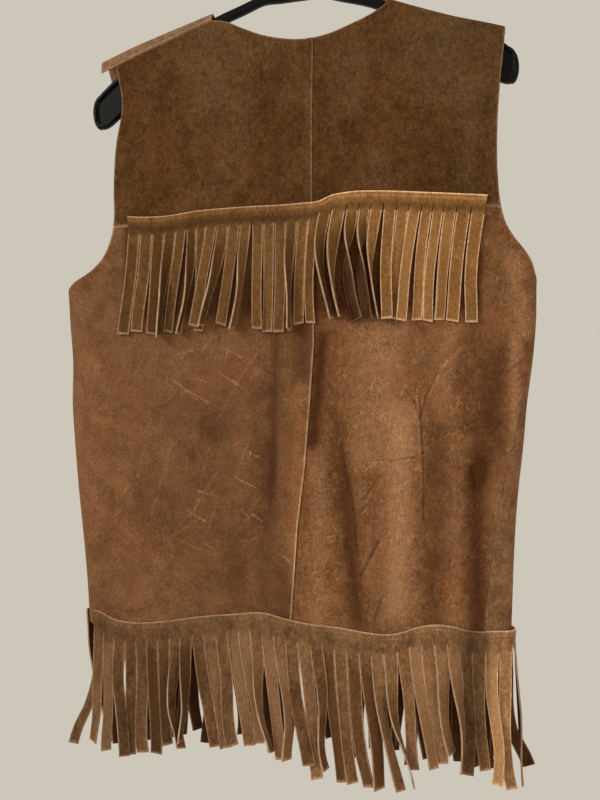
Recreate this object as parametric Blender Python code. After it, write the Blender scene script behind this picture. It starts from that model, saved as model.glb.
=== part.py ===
"""Fringed suede western vest hung on a moulded hanger.

Units are metres, +Z is up. The back of the vest faces +Y, the fronts face -Y, and the wearer's
left is +X. The origin is the point under the top of the hook, where a rail carries the hanger.

The whole garment lies on one cloth form. A point of the form is found from a girth station and a
height. Girth stations run round the body: 0 is the centre back, 1 is the side fold and 2 is the
centre front; stations on the wearer's right are negative. Heights are measured up the cloth, so a
piece that is longer than the shoulder ridge wraps over it.
"""
import bpy
import bmesh
import numpy as np
from math import pi, sin, cos, radians

# Cloth and seams
WALL = 0.0016
SEAM_GAP = 0.0003
STRIP_STANDOFF = 0.0006
FOLD_STANDOFF = 0.0016
FOLD_REACH = 0.09

# The cloth form
RIDGE_RADIUS = 0.0072
OPENING_DROP = 0.13
SECTION_POWER = 2.8
SECTION_HALF_WIDTH = 0.220
SECTION_DEPTH = 0.022
SECTION_HEIGHT = -0.5
HALF_GIRTH = 0.235
END_REACH = 0.16
NORMAL_STEP_ROUND = 0.004
NORMAL_STEP_UP = 0.0008

# Fringe
YOKE_BAND = 0.0115
HEM_BAND = 0.0125
SLIT = 0.0006
STRAND_FILL = 0.90
STRAND_RINGS = (0.10, 0.32, 0.55, 0.78, 1.0)
TURNED_BY = 0.75
SHIFT_POWER = 1.1

# Hanger
HANGER_TILT = radians(2.8)
RIM_HALF_THICKNESS = 0.0046
WEB_HALF_THICKNESS = 0.0018
HOOK_WIRE = 0.0030
HOOK_RADIUS = 0.0200
HOOK_STEM_FOOT = -0.0823
HOOK_SIDES = 10
RIM_STEP = 0.0006
RIM_FACE = 0.0002
CREST_CHAMFER = 0.0009
CREST_ROUND = 0.0030
UNDER_CHAMFER = 0.0012


def columns(names, *rows):
    """A small table: one array for each named column."""
    return dict(zip(names.split(), np.array(rows, dtype=float).T))


def smooth(table, name, at, key="z"):
    """Read a table column with a smooth curve through its rows; the key column may fall or rise."""
    order = np.argsort(table[key])
    k = table[key][order]
    v = table[name][order]
    slope = np.gradient(v, k)
    at = np.clip(at, k[0], k[-1])
    i = np.clip(np.searchsorted(k, at, side="right") - 1, 0, len(k) - 2)
    step = k[i + 1] - k[i]
    t = (at - k[i]) / step
    a = (1 + 2 * t) * (1 - t) ** 2 * v[i] + t * (1 - t) ** 2 * step * slope[i]
    b = t * t * (3 - 2 * t) * v[i + 1] + t * t * (t - 1) * step * slope[i + 1]
    return a + b


def straight(table, name, at, key="z"):
    """Read a table column with straight lines between its rows."""
    order = np.argsort(table[key])
    return np.interp(at, table[key][order], table[name][order])


def ease(t):
    """Smooth step from 0 to 1."""
    t = np.clip(t, 0.0, 1.0)
    return t * t * (3 - 2 * t)


# Half widths to the wearer's left and right, and how far the back and the fronts stand from the
# middle, by height
BODY = columns(
    "z      left    right   back    front",
    (-0.100, 0.3000, 0.3000, 0.0135, 0.0135),
    (-0.200, 0.2750, 0.2750, 0.0165, 0.0185),
    (-0.300, 0.2500, 0.2520, 0.0190, 0.0235),
    (-0.385, 0.2388, 0.2380, 0.0200, 0.0265),
    (-0.422, 0.2364, 0.2374, 0.0205, 0.0275),
    (-0.457, 0.2335, 0.2348, 0.0210, 0.0280),
    (-0.505, 0.2338, 0.2288, 0.0215, 0.0285),
    (-0.541, 0.2314, 0.2258, 0.0215, 0.0290),
    (-0.592, 0.2270, 0.2204, 0.0215, 0.0295),
    (-0.642, 0.2215, 0.2172, 0.0215, 0.0300),
    (-0.675, 0.2183, 0.2160, 0.0215, 0.0305),
    (-0.723, 0.2150, 0.2146, 0.0220, 0.0310),
    (-0.800, 0.2140, 0.2160, 0.0230, 0.0310),
    (-0.890, 0.2130, 0.2200, 0.0240, 0.0310),
)
# The crest line of the shoulders
RIDGE = columns(
    "x       z",
    (0.230, -0.1580),
    (0.200, -0.1478),
    (0.167, -0.1350),
    (0.133, -0.1235),
    (0.082, -0.1070),
    (0.000, -0.0800),
    (-0.082, -0.1015),
    (-0.124, -0.1165),
    (-0.156, -0.1275),
    (-0.203, -0.1410),
    (-0.230, -0.1500),
)
# Folds of the hung cloth: where each starts and ends, its half width, and its height (troughs
# are negative)
BACK_FOLDS = columns(
    "x_top   z_top   x_low   z_low   width  height",
    (0.018, -0.440, 0.010, -0.715, 0.014, -0.0032),
    (0.105, -0.450, 0.095, -0.715, 0.034, 0.0024),
    (0.180, -0.460, 0.172, -0.710, 0.016, -0.0022),
    (-0.050, -0.480, -0.053, -0.715, 0.014, -0.0030),
    (-0.108, -0.440, -0.120, -0.705, 0.020, 0.0030),
    (-0.182, -0.440, -0.172, -0.710, 0.017, -0.0034),
)
FRONT_FOLDS = columns(
    "x_top   z_top   x_low   z_low   width  height",
    (0.150, -0.360, 0.160, -0.700, 0.020, -0.0034),
    (0.090, -0.300, 0.085, -0.710, 0.028, 0.0030),
    (-0.155, -0.350, -0.150, -0.705, 0.020, -0.0036),
    (-0.085, -0.320, -0.095, -0.700, 0.026, 0.0028),
)

# Edges of the pieces: across against height, or height against across
CENTRE_SEAM = columns(
    "z      x",
    (-0.140, -0.0216),
    (-0.306, -0.0226),
    (-0.4435, -0.0250),
    (-0.499, -0.0213),
    (-0.566, -0.0160),
    (-0.625, -0.0088),
    (-0.735, -0.0015),
)
BACK_ARMHOLE = columns(
    "z      left    right",
    (-0.130, 0.1890, 0.2090),
    (-0.156, 0.1840, 0.2078),
    (-0.195, 0.1762, 0.2040),
    (-0.240, 0.1812, 0.2012),
    (-0.285, 0.1828, 0.2014),
    (-0.321, 0.1830, 0.2055),
    (-0.334, 0.1858, 0.2095),
    (-0.347, 0.1910, 0.2175),
    (-0.359, 0.1995, 0.2270),
    (-0.370, 0.2140, 0.2335),
    (-0.378, 0.2300, 0.2358),
    (-0.386, 0.2388, 0.2380),
)
FRONT_ARMHOLE = columns(
    "z      left    right",
    (-0.120, 0.2000, 0.2090),
    (-0.149, 0.1985, 0.2070),
    (-0.170, 0.1930, 0.2000),
    (-0.210, 0.1830, 0.1900),
    (-0.260, 0.1770, 0.1840),
    (-0.310, 0.1790, 0.1860),
    (-0.340, 0.1880, 0.1950),
    (-0.359, 0.2010, 0.2080),
    (-0.370, 0.2150, 0.2210),
    (-0.378, 0.2290, 0.2320),
    (-0.386, 0.2388, 0.2380),
)
# Girth station of the side seams: the wearer's right seam lies on the back at the hem
SIDE_SEAM = columns(
    "z      left   right",
    (-0.386, 1.000, 1.000),
    (-0.500, 0.995, 0.955),
    (-0.620, 0.990, 0.890),
    (-0.740, 0.985, 0.845),
)
FRONT_EDGE = columns(
    "z      left    right",
    (-0.105, 0.0815, 0.0975),
    (-0.122, 0.0790, 0.0935),
    (-0.160, 0.0690, 0.0800),
    (-0.220, 0.0480, 0.0550),
    (-0.280, 0.0270, 0.0300),
    (-0.330, 0.0130, 0.0135),
    (-0.390, 0.0100, 0.0100),
    (-0.740, 0.0110, 0.0110),
)
NECKLINE = columns(
    "x       z",
    (0.0815, -0.1160),
    (0.0683, -0.1178),
    (0.0487, -0.1268),
    (0.0292, -0.1352),
    (0.0089, -0.1406),
    (-0.0140, -0.1430),
    (-0.0381, -0.1395),
    (-0.0589, -0.1318),
    (-0.0804, -0.1225),
    (-0.0940, -0.1145),
)
# How far down the back the left front reaches past the shoulder crest, by distance across
LEFT_SHOULDER_SEAM = columns(
    "x      over",
    (0.0815, 0.0125),
    (0.1300, 0.0150),
    (0.1890, 0.0175),
)
RIGHT_SHOULDER_OVER = 0.008
# Ends of the two necklines on the back, and how far across the right one climbs over the crest
NECK_POINT = {"left": 0.0815, "right": -0.0940}
RIGHT_NECK_CLIMB = 0.0060
YOKE_SEAM_HEIGHT = -0.3192
YOKE_SEAM_SLOPE = -0.0155
YOKE_STRIP_TOP = columns(
    "x       z",
    (0.1673, -0.3117),
    (0.1470, -0.3142),
    (0.1194, -0.3146),
    (0.0869, -0.3109),
    (0.0476, -0.3091),
    (-0.0120, -0.3076),
    (-0.0299, -0.3058),
    (-0.0388, -0.3013),
    (-0.0486, -0.2994),
    (-0.0594, -0.2983),
    (-0.0769, -0.2986),
    (-0.1249, -0.3022),
    (-0.1886, -0.3075),
)
HEM_STRIP_TOP = columns(
    "x       z",
    (0.2150, -0.7165),
    (0.1990, -0.7230),
    (0.1795, -0.7256),
    (0.1430, -0.7229),
    (0.1019, -0.7163),
    (0.0604, -0.7115),
    (0.0242, -0.7088),
    (0.0000, -0.7140),
    (-0.0243, -0.7174),
    (-0.0568, -0.7197),
    (-0.0839, -0.7232),
    (-0.1051, -0.7241),
    (-0.1194, -0.7215),
    (-0.1355, -0.7159),
    (-0.1524, -0.7132),
    (-0.1701, -0.7143),
    (-0.1867, -0.7182),
    (-0.2146, -0.7185),
)
FRONT_HEM_STRIP_TOP = -0.7180

# Heights of the rows of each panel; both sides of a side seam share the first
SIDE_ROWS = (-0.7350, -0.7050, -0.6720, -0.6380, -0.6040, -0.5700, -0.5360, -0.5020, -0.4700,
             -0.4420, -0.4180, -0.4000, -0.3860)
ARMHOLE_ROWS = (-0.3740, -0.3600, -0.3430)
YOKE_ROWS = (-0.3200, -0.2920, -0.2640, -0.2360, -0.2100, -0.1890, -0.1740)
UPPER_FRONT_ROWS = (-0.3200, -0.2900, -0.2600, -0.2300, -0.2050, -0.1860, -0.1740)
# Close rows where a piece rounds the shoulder crest
CREST_ROWS = tuple(-0.1740 + 0.0044 * k for k in range(1, 9))

# Strands of the yoke fringe, in millimetres and degrees: where the strand is cut, where its tip
# hangs, how high the tip is, how far it has turned there, its sideways bow and its stand-off
YOKE_STRANDS = columns(
    "root     tip     low     turn  bow  out",
    (159.9, 169.4, -433.2, 0, 0.0, 0.0),
    (146.6, 155.7, -430.8, 0, 0.0, 0.0),
    (132.8, 139.2, -433.6, 0, 1.0, 0.0),
    (120.6, 130.4, -436.7, 86, 0.0, 0.0),
    (109.1, 122.2, -431.8, 8, 0.0, 0.0),
    (98.1, 108.2, -434.0, 84, -2.0, 0.0),
    (88.2, 90.6, -431.3, 6, 0.0, 0.0),
    (77.3, 93.6, -426.8, 0, 0.0, 5.0),
    (65.4, 83.6, -426.4, 84, -1.5, 0.0),
    (52.6, 67.3, -425.2, 8, 0.0, 0.0),
    (41.4, 54.5, -429.8, 84, -1.0, 0.0),
    (30.2, 29.6, -430.2, 0, 0.0, 4.0),
    (18.6, 19.6, -433.3, 0, 0.0, 0.0),
    (7.5, 7.9, -433.5, 0, 0.0, 0.0),
    (-4.5, -0.4, -431.6, 86, 0.0, 0.0),
    (-16.5, -12.5, -426.0, 0, 1.5, 0.0),
    (-26.9, -23.9, -425.2, 0, 3.0, 0.0),
    (-37.7, -43.5, -421.6, 82, 8.0, 0.0),
    (-51.4, -53.3, -419.9, 86, 6.0, 0.0),
    (-65.1, -67.6, -422.1, 165, 5.0, 0.0),
    (-76.3, -79.6, -422.3, 165, 5.0, 0.0),
    (-87.4, -88.0, -421.4, 100, 4.0, 0.0),
    (-99.8, -97.0, -422.5, 0, 0.0, 4.5),
    (-112.3, -104.2, -422.7, 5, 0.0, 0.0),
    (-124.1, -110.6, -424.7, 10, 0.0, 5.0),
    (-135.5, -125.8, -424.0, 0, 0.0, 0.0),
    (-145.8, -136.2, -425.1, 0, 0.0, 0.0),
    (-156.6, -146.8, -424.3, 38, 0.0, 0.0),
    (-170.1, -159.7, -425.5, 0, 0.0, 0.0),
    (-183.5, -176.1, -426.7, 0, 0.0, 0.0),
)
# Strands of the hem fringe on the back, cut at even steps
HEM_STRANDS = columns(
    "tip     low     turn  bow  out",
    (203.0, -851.2, 10, 0.0, 0.0),
    (185.1, -857.0, 0, 2.0, 0.0),
    (169.5, -857.9, 62, 0.0, 1.0),
    (158.3, -858.0, 0, 0.0, 0.0),
    (147.0, -855.2, 0, 0.0, 0.0),
    (133.3, -855.1, 5, 1.0, 0.0),
    (120.6, -845.2, 0, 0.0, 0.0),
    (108.6, -844.3, 75, 0.0, 1.0),
    (98.6, -837.6, 70, 3.0, 2.0),
    (72.7, -840.6, 40, -2.0, 1.0),
    (61.0, -841.8, 0, -1.0, 0.0),
    (49.1, -839.9, 30, 0.0, 0.0),
    (37.0, -838.0, 0, 0.0, 0.0),
    (25.7, -836.3, 20, 0.0, 0.0),
    (15.2, -842.4, 70, 0.0, 0.0),
    (3.6, -850.3, 0, 1.5, 0.0),
    (-8.4, -847.5, 50, 0.0, 0.0),
    (-19.9, -852.5, 20, 0.0, 0.0),
    (-34.0, -865.8, 0, 0.0, 0.0),
    (-44.8, -854.4, 60, 0.0, 0.0),
    (-54.0, -867.3, 0, 1.0, 0.0),
    (-67.2, -867.0, 0, 1.0, 0.0),
    (-80.4, -869.8, 0, 1.5, 0.0),
    (-94.2, -869.6, 20, 1.0, 0.0),
    (-108.0, -869.4, 75, 0.0, 0.0),
    (-117.6, -862.7, 75, 0.0, 0.0),
    (-127.2, -850.0, 10, 0.0, 0.0),
    (-138.6, -847.2, 20, 0.0, 0.0),
    (-149.6, -843.5, 0, 0.0, 0.0),
    (-159.6, -832.3, 50, 0.0, 0.0),
    (-167.2, -848.0, 78, 0.0, 0.0),
    (-175.6, -852.8, 8, 0.0, 0.0),
    (-187.0, -848.2, 0, 0.0, 0.0),
)
HEM_ROOTS = (0.2052, -0.1900)
# The fronts' hem fringes: girth stations of each strip's ends and how many strands it has
FRONT_LEFT_STRIP = (0.992, 1.944, 18)
FRONT_RIGHT_STRIP = (-0.862, -1.944, 20)
FRONT_STRAND_LOW = -0.8600
FRONT_STRAND_STAGGER = 0.008
FRONT_STRAND_SWAY = 0.003
FRONT_STRAND_BOW = 0.001
FRONT_STRAND_OUT = 0.0015
FRONT_STRAND_TURN = (20, 45)
SIDE_FLARE = {"left": 0.0085, "right": 0.0030}

# The hanger's arm: crest and underside heights by distance from the neck, before it is tilted
HANGER_ARM = columns(
    "x      crest    under",
    (0.0000, -0.0830, -0.1010),
    (0.0120, -0.0838, -0.1010),
    (0.0300, -0.0908, -0.1010),
    (0.0450, -0.0962, -0.1060),
    (0.0820, -0.1083, -0.1190),
    (0.1000, -0.1158, -0.1285),
    (0.1200, -0.1247, -0.1400),
    (0.1500, -0.1372, -0.1640),
    (0.1750, -0.1500, -0.1860),
    (0.1900, -0.1580, -0.1990),
    (0.2000, -0.1655, -0.2060),
    (0.2080, -0.1725, -0.2075),
    (0.2135, -0.1790, -0.2040),
    (0.2165, -0.1860, -0.1965),
)
PADDLE_RIM = 0.0050
RIM_SHARE = 0.38

# Stations of the arm's sections, and whether each one has the recess; the other arm mirrors them
ARM_STATIONS = columns(
    "x      recess",
    (0.0000, 0), (0.0120, 0), (0.0240, 0), (0.0400, 0), (0.0600, 0), (0.0820, 0), (0.1000, 0),
    (0.1180, 0), (0.1188, 1), (0.1360, 1), (0.1550, 1), (0.1750, 1), (0.1940, 1), (0.2075, 1),
    (0.2083, 0), (0.2115, 0), (0.2145, 0), (0.2165, 0),
)
# The hook's stem above its foot: sideways against height
HOOK_STEM = columns(
    "x       up",
    (0.0000, 0.000),
    (0.0000, 0.012),
    (0.0005, 0.024),
    (0.0045, 0.034),
)

# Unit section: distance round a quarter of the body against the angle that draws it
QUARTER_TURN = np.linspace(0.0, pi / 2, 1200)
UNIT_X = np.sin(QUARTER_TURN) ** (2 / SECTION_POWER)
UNIT_Y = np.cos(QUARTER_TURN) ** (2 / SECTION_POWER)
UNIT_RUN = np.hypot(np.diff(SECTION_HALF_WIDTH * UNIT_X), np.diff(SECTION_DEPTH * UNIT_Y))
QUARTER_GIRTH = np.append(0.0, np.cumsum(UNIT_RUN)) / np.sum(UNIT_RUN)


def fold_height(table, x, z):
    """Sum of the folds at a place on the back or on the fronts."""
    total = 0.0 * x
    rows = zip(*(table[k] for k in ("x_top", "z_top", "x_low", "z_low", "width", "height")))
    for x_top, z_top, x_low, z_low, width, height in rows:
        along = np.clip((z_top - z) / (z_top - z_low), 0.0, 1.0)
        across = (x - x_top - (x_low - x_top) * along) / width
        total = total + height * np.exp(-across * across) * np.sin(pi * along) ** 2
    return total


def half_width(g, z):
    """Half width of the body on the side that a girth station lies on."""
    return np.where(g >= 0, smooth(BODY, "left", z), smooth(BODY, "right", z))


def form(g, z):
    """Point of the cloth form at a girth station and a height measured up the cloth."""
    g, z = np.broadcast_arrays(np.asarray(g, float), np.asarray(z, float))
    station = np.abs(g)
    is_back = station <= 1
    quarter = np.interp(np.where(is_back, station, 2 - station), QUARTER_GIRTH, QUARTER_TURN)
    side = np.where(is_back, 1.0, -1.0)
    x = np.where(g >= 0, 1.0, -1.0) * half_width(g, z) * np.sin(quarter) ** (2 / SECTION_POWER)
    round_side = np.abs(np.cos(quarter)) ** (2 / SECTION_POWER)
    depth = np.where(is_back, smooth(BODY, "back", z), smooth(BODY, "front", z)) * round_side
    folds = np.where(is_back, fold_height(BACK_FOLDS, x, z), fold_height(FRONT_FOLDS, x, z))
    depth = depth + folds * round_side
    crest = smooth(RIDGE, "z", x, key="x")
    run = crest - z + RIDGE_RADIUS * (pi / 2 - 1)
    bend = np.clip(np.abs(run) / RIDGE_RADIUS, 0.0, pi / 2)
    past = np.maximum(np.abs(run) - RIDGE_RADIUS * pi / 2, 0.0)
    opened = RIDGE_RADIUS * np.sin(bend) + (depth - RIDGE_RADIUS) * ease(past / OPENING_DROP)
    drop = RIDGE_RADIUS * (1 - np.cos(bend)) + past
    y = side * np.where(run >= 0, 1.0, -1.0) * opened
    return np.stack([x, y, crest - drop], axis=-1)


def normal(g, z):
    """Outward normal of the cloth form."""
    round_body = form(g + NORMAL_STEP_ROUND, z) - form(g - NORMAL_STEP_ROUND, z)
    up_body = form(g, z + NORMAL_STEP_UP) - form(g, z - NORMAL_STEP_UP)
    n = np.cross(up_body, round_body)
    return n / np.linalg.norm(n, axis=-1, keepdims=True)


def cloth(g, z, lift=0.0):
    """Point that stands off the cloth form by a given distance."""
    return form(g, z) + normal(g, z) * np.asarray(lift, dtype=float)[..., None]


def girth_at(x, z, front=False):
    """Girth station of a distance across, on the back or on the fronts."""
    share = np.clip(np.abs(x) / half_width(x, z), 0.0, 1.0)
    turn = np.arcsin(share ** (SECTION_POWER / 2))
    quarter = np.interp(turn, QUARTER_TURN, QUARTER_GIRTH)
    return np.where(x >= 0, 1.0, -1.0) * (2 - quarter if front else quarter)


def over_crest(x, over):
    """Height up the cloth of a line that passes the shoulder crest by a given distance."""
    return smooth(RIDGE, "z", x, key="x") + RIDGE_RADIUS * (pi / 2 - 1) + over


def material(name, colour, roughness, metallic=0.0):
    """A plain finish in the sub-part's colour."""
    made = bpy.data.materials.new(name)
    made.use_nodes = True
    shader = made.node_tree.nodes["Principled BSDF"]
    shader.inputs["Base Color"].default_value = (*colour, 1.0)
    shader.inputs["Roughness"].default_value = roughness
    shader.inputs["Metallic"].default_value = metallic
    return made


def add_object(name, points, faces, finish, crisp_angle=40):
    """Put a closed mesh in the scene under its node's name."""
    mesh = bpy.data.meshes.new(name)
    mesh.from_pydata([tuple(map(float, p)) for p in points], [], faces)
    shell = bmesh.new()
    shell.from_mesh(mesh)
    bmesh.ops.recalc_face_normals(shell, faces=shell.faces)
    shell.to_mesh(mesh)
    shell.free()
    mesh.shade_smooth()
    mesh.set_sharp_from_angle(angle=radians(crisp_angle))
    mesh.materials.append(finish)
    made = bpy.data.objects.new(name, mesh)
    bpy.context.scene.collection.objects.link(made)
    return made


def wall(name, outer, inner, finish):
    """Close two matching grids of points, outer and inner, into one solid wall."""
    rows, cols = outer.shape[:2]
    points = np.concatenate([outer.reshape(-1, 3), inner.reshape(-1, 3)])
    under = rows * cols
    faces = []
    for i in range(rows - 1):
        for j in range(cols - 1):
            a = i * cols + j
            quad = (a, a + 1, a + cols + 1, a + cols)
            faces.append(quad)
            faces.append(tuple(under + k for k in reversed(quad)))
    rim = list(range(cols))
    rim += [i * cols + cols - 1 for i in range(1, rows)]
    rim += [(rows - 1) * cols + j for j in range(cols - 2, -1, -1)]
    rim += [i * cols for i in range(rows - 2, 0, -1)]
    for a, b in zip(rim, rim[1:] + rim[:1]):
        faces.append((b, a, under + a, under + b))
    return add_object(name, points, faces, finish)


def panel(name, start, end, rows, bottom, top, shares, finish):
    """A cloth piece between two edges (girth by height) and two ends (height by distance across).

    Rows keep their table's height in the middle of the piece and lean to its shaped ends.
    """
    rows = np.asarray(rows)[:, None]
    shares = np.asarray(shares)[None, :]
    to_bottom = 1 - ease((rows - rows[0]) / END_REACH)
    to_top = 1 - ease((rows[-1] - rows) / END_REACH)
    z = rows + 0 * shares
    for _ in range(6):
        g_start = start(z)
        g_end = end(z)
        g = g_start + (g_end - g_start) * shares
        x = form(g, z)[..., 0]
        z = rows + to_bottom * (bottom(x) - rows[0]) + to_top * (top(x) - rows[-1])
    g = start(z) + (end(z) - start(z)) * shares
    return wall(name, cloth(g, z), cloth(g, z, -WALL), finish)


def shares_to_fold(count, crowding):
    """Column places from an edge to the side fold, closer together near the fold."""
    return 1 - (1 - np.linspace(0, 1, count + 1)) ** crowding


def yoke_seam(x):
    """Height of the seam between the yoke and the lower back."""
    return YOKE_SEAM_HEIGHT + YOKE_SEAM_SLOPE * x


def hem_of_back(x):
    """The lower back ends under its fringe strip."""
    return smooth(HEM_STRIP_TOP, "z", x, key="x") - HEM_BAND


def seam_girth(z, sign):
    """Girth station of the centre back seam's edge on one side."""
    return girth_at(straight(CENTRE_SEAM, "x", z) + sign * SEAM_GAP / 2, z)


def side_girth(z, hand, sign, armhole, front):
    """Girth station of a panel's outer edge: its armhole, and below it the side seam."""
    low = armhole["z"][-1]
    share = np.where(z > low, girth_at(sign * smooth(armhole, hand, z), z, front), 0.0)
    gap = SEAM_GAP / 2 / HALF_GIRTH
    seam = sign * (straight(SIDE_SEAM, hand, z) + (gap if front else -gap))
    return np.where(z > low, share, seam)


def shoulder_end(x, hand, front):
    """Height up the cloth at which a front or a yoke half ends at the shoulder."""
    if hand == "left":
        past_back = -straight(LEFT_SHOULDER_SEAM, "over", x, key="x")
    else:
        past_back = RIGHT_SHOULDER_OVER + 0.0 * x
    over = -past_back if front else past_back
    return over_crest(x, over - SEAM_GAP / 2)


def yoke_end(x, hand):
    """Upper edge of a yoke half: the neckline, then the shoulder seam."""
    neck_x = NECK_POINT[hand]
    at_neck = smooth(NECKLINE, "z", x, key="x")
    at_shoulder = shoulder_end(x, hand, False)
    if hand == "right":
        climbed = np.clip((neck_x - x) / RIGHT_NECK_CLIMB, 0.0, 1.0)
        at_shoulder = at_neck + (at_shoulder - at_neck) * climbed
    return np.where(np.abs(x) <= abs(neck_x), at_neck, at_shoulder)


def make_lower_back(hand, sign, finish):
    """Half of the lower back, from the centre seam to the side seam."""
    panel("lower_back_" + hand,
          lambda z: seam_girth(z, sign),
          lambda z: side_girth(z, hand, sign, BACK_ARMHOLE, False),
          SIDE_ROWS + ARMHOLE_ROWS + (YOKE_ROWS[0],),
          hem_of_back, lambda x: yoke_seam(x) - SEAM_GAP / 2,
          shares_to_fold(14, 1.3), finish)


def make_yoke(hand, sign, finish):
    """Half of the back yoke, from the centre seam to the armhole and over the shoulder."""
    seam_x = CENTRE_SEAM["x"][0]
    arm_x = sign * BACK_ARMHOLE[hand][0]
    neck = abs(NECK_POINT[hand] - seam_x) / abs(arm_x - seam_x)
    shares = np.linspace(0, neck, 6)
    if hand == "right":
        climb = RIGHT_NECK_CLIMB / abs(arm_x - seam_x)
        shares = np.append(shares, np.linspace(neck, neck + climb, 6)[1:])
    shares = np.append(shares, np.linspace(shares[-1], 1, 7)[1:])
    panel("back_yoke_" + hand,
          lambda z: seam_girth(z, sign),
          lambda z: side_girth(z, hand, sign, BACK_ARMHOLE, False),
          YOKE_ROWS + CREST_ROWS, lambda x: yoke_seam(x) + SEAM_GAP / 2,
          lambda x: yoke_end(x, hand), shares, finish)


def make_front(hand, sign, finish):
    """One front, from its free edge to the side seam and over the shoulder crest."""
    panel("front_" + hand,
          lambda z: girth_at(sign * smooth(FRONT_EDGE, hand, z), z, True),
          lambda z: side_girth(z, hand, sign, FRONT_ARMHOLE, True),
          SIDE_ROWS + ARMHOLE_ROWS + UPPER_FRONT_ROWS + CREST_ROWS,
          lambda x: FRONT_HEM_STRIP_TOP - HEM_BAND + 0.0 * x,
          lambda x: shoulder_end(x, hand, True),
          shares_to_fold(12, 1.25), finish)


def strip_standoff(g):
    """How far a sewn strip stands off the panel: more where it rounds the side fold."""
    near_fold = np.exp(-((np.abs(g) - 1) / FOLD_REACH) ** 2)
    return STRIP_STANDOFF + FOLD_STANDOFF * near_fold


def strand_rings(root, strand, band_foot):
    """The cross-sections of one strand, from its root down to its cut end."""
    g_root, width = root
    drop = band_foot - strand["low"]
    rings = []
    fall = np.asarray(STRAND_RINGS)
    turn = strand["turn"] * ease(fall / TURNED_BY)
    half = width * STRAND_FILL / 2
    lift = (strip_standoff(g_root) + WALL / 2 + strand["out"] * ease(fall)
            + (half - WALL / 2) * np.abs(np.sin(turn)))
    shift = strand["shift"] * fall ** SHIFT_POWER + strand["bow"] * np.sin(pi * fall)
    g = g_root + shift / HALF_GIRTH
    z = band_foot - drop * fall
    middle = cloth(g, z, lift)
    first = cloth(np.array([g_root]), np.array([band_foot]), np.array([lift[0]]))
    path = np.concatenate([first, middle])
    for k, centre in enumerate(middle):
        run = path[k + 1] - path[k] if k == len(middle) - 1 else path[k + 2] - path[k]
        run = run / np.linalg.norm(run)
        out = normal(g[k], z[k])
        out[2] = 0.0
        out = out / np.linalg.norm(out)
        across = np.cross(run, out)
        across = across / np.linalg.norm(across)
        out = np.cross(across, run)
        wide = (cos(turn[k]) * across + sin(turn[k]) * out) * half
        thick = (cos(turn[k]) * out - sin(turn[k]) * across) * WALL / 2
        rings.append([centre + wide + thick, centre - wide + thick,
                      centre - wide - thick, centre + wide - thick])
    return rings


def fringe(name, roots, strands, strip_top, band, finish):
    """A backing strip and its strands, one closed solid.

    roots holds the girth stations of each strand's two sides, in order towards +X on the back.
    """
    points = []
    faces = []
    stations = [g for pair in roots for g in pair]
    for g in stations:
        x = form(g, SECTION_HEIGHT)[0]
        z_top = float(strip_top(x))
        base = float(strip_standoff(g))
        for z, lift in ((z_top, base + WALL), (z_top - band, base + WALL),
                        (z_top - band, base), (z_top, base)):
            points.append(cloth(g, z, lift))
    count = len(stations)
    for s in range(count - 1):
        a, b = 4 * s, 4 * s + 4
        faces.append((a, a + 1, b + 1, b))
        faces.append((b + 3, b + 2, a + 2, a + 3))
        faces.append((a + 3, a, b, b + 3))
        if s % 2:
            faces.append((a + 1, a + 2, b + 2, b + 1))
    faces.append((3, 2, 1, 0))
    last = 4 * (count - 1)
    faces.append((last, last + 1, last + 2, last + 3))
    for k, pair in enumerate(roots):
        foot = float(strip_top(form(pair[0], SECTION_HEIGHT)[0])) - band
        width = abs(pair[1] - pair[0]) * HALF_GIRTH
        rings = strand_rings((sum(pair) / 2, width), strands[k], foot)
        a = 8 * k
        ring = [a + 5, a + 1, a + 2, a + 6]
        for corners in rings:
            base = len(points)
            points.extend(corners)
            new = [base, base + 1, base + 2, base + 3]
            for c in range(4):
                d = (c + 1) % 4
                faces.append((ring[c], ring[d], new[d], new[c]))
            ring = new
        faces.append(tuple(ring))
    add_object(name, points, faces, finish, crisp_angle=25)


def cut_roots(cuts, z):
    """Girth stations of the strands between cuts across the back, which run from +X to -X."""
    roots = []
    for left, right in zip(cuts[:-1], cuts[1:]):
        roots.append((float(girth_at(right + SLIT / 2, z)), float(girth_at(left - SLIT / 2, z))))
    return roots


def strand_list(table, roots):
    """Turn a strand table in millimetres and degrees into one record for each strand.

    A strand's shift is how far its tip hangs from the place straight down its own girth station.
    """
    strands = []
    for k, pair in enumerate(roots):
        low = table["low"][k] / 1000
        straight_x = float(form(sum(pair) / 2, low)[0])
        strands.append({
            "low": low,
            "turn": radians(table["turn"][k]),
            "shift": table["tip"][k] / 1000 - straight_x,
            "bow": table["bow"][k] / 1000,
            "out": table["out"][k] / 1000,
        })
    return strands


def make_yoke_fringe(finish):
    """The strip over the yoke seam."""
    roots_x = YOKE_STRANDS["root"] / 1000
    cuts = (roots_x[:-1] + roots_x[1:]) / 2
    cuts = np.concatenate([[2 * roots_x[0] - cuts[0]], cuts, [2 * roots_x[-1] - cuts[-1]]])
    roots = cut_roots(cuts, YOKE_SEAM_HEIGHT)
    strands = strand_list(YOKE_STRANDS, roots)
    fringe("yoke_fringe", roots[::-1], strands[::-1],
           lambda x: smooth(YOKE_STRIP_TOP, "z", x, key="x"), YOKE_BAND, finish)


def make_hem_fringe_back(finish):
    """The strip along the back hem."""
    cuts = np.linspace(HEM_ROOTS[0], HEM_ROOTS[1], len(HEM_STRANDS["tip"]) + 1)
    roots = cut_roots(cuts, FRONT_HEM_STRIP_TOP)
    strands = strand_list(HEM_STRANDS, roots)
    fringe("hem_fringe_back", roots[::-1], strands[::-1],
           lambda x: smooth(HEM_STRIP_TOP, "z", x, key="x"), HEM_BAND, finish)


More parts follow.
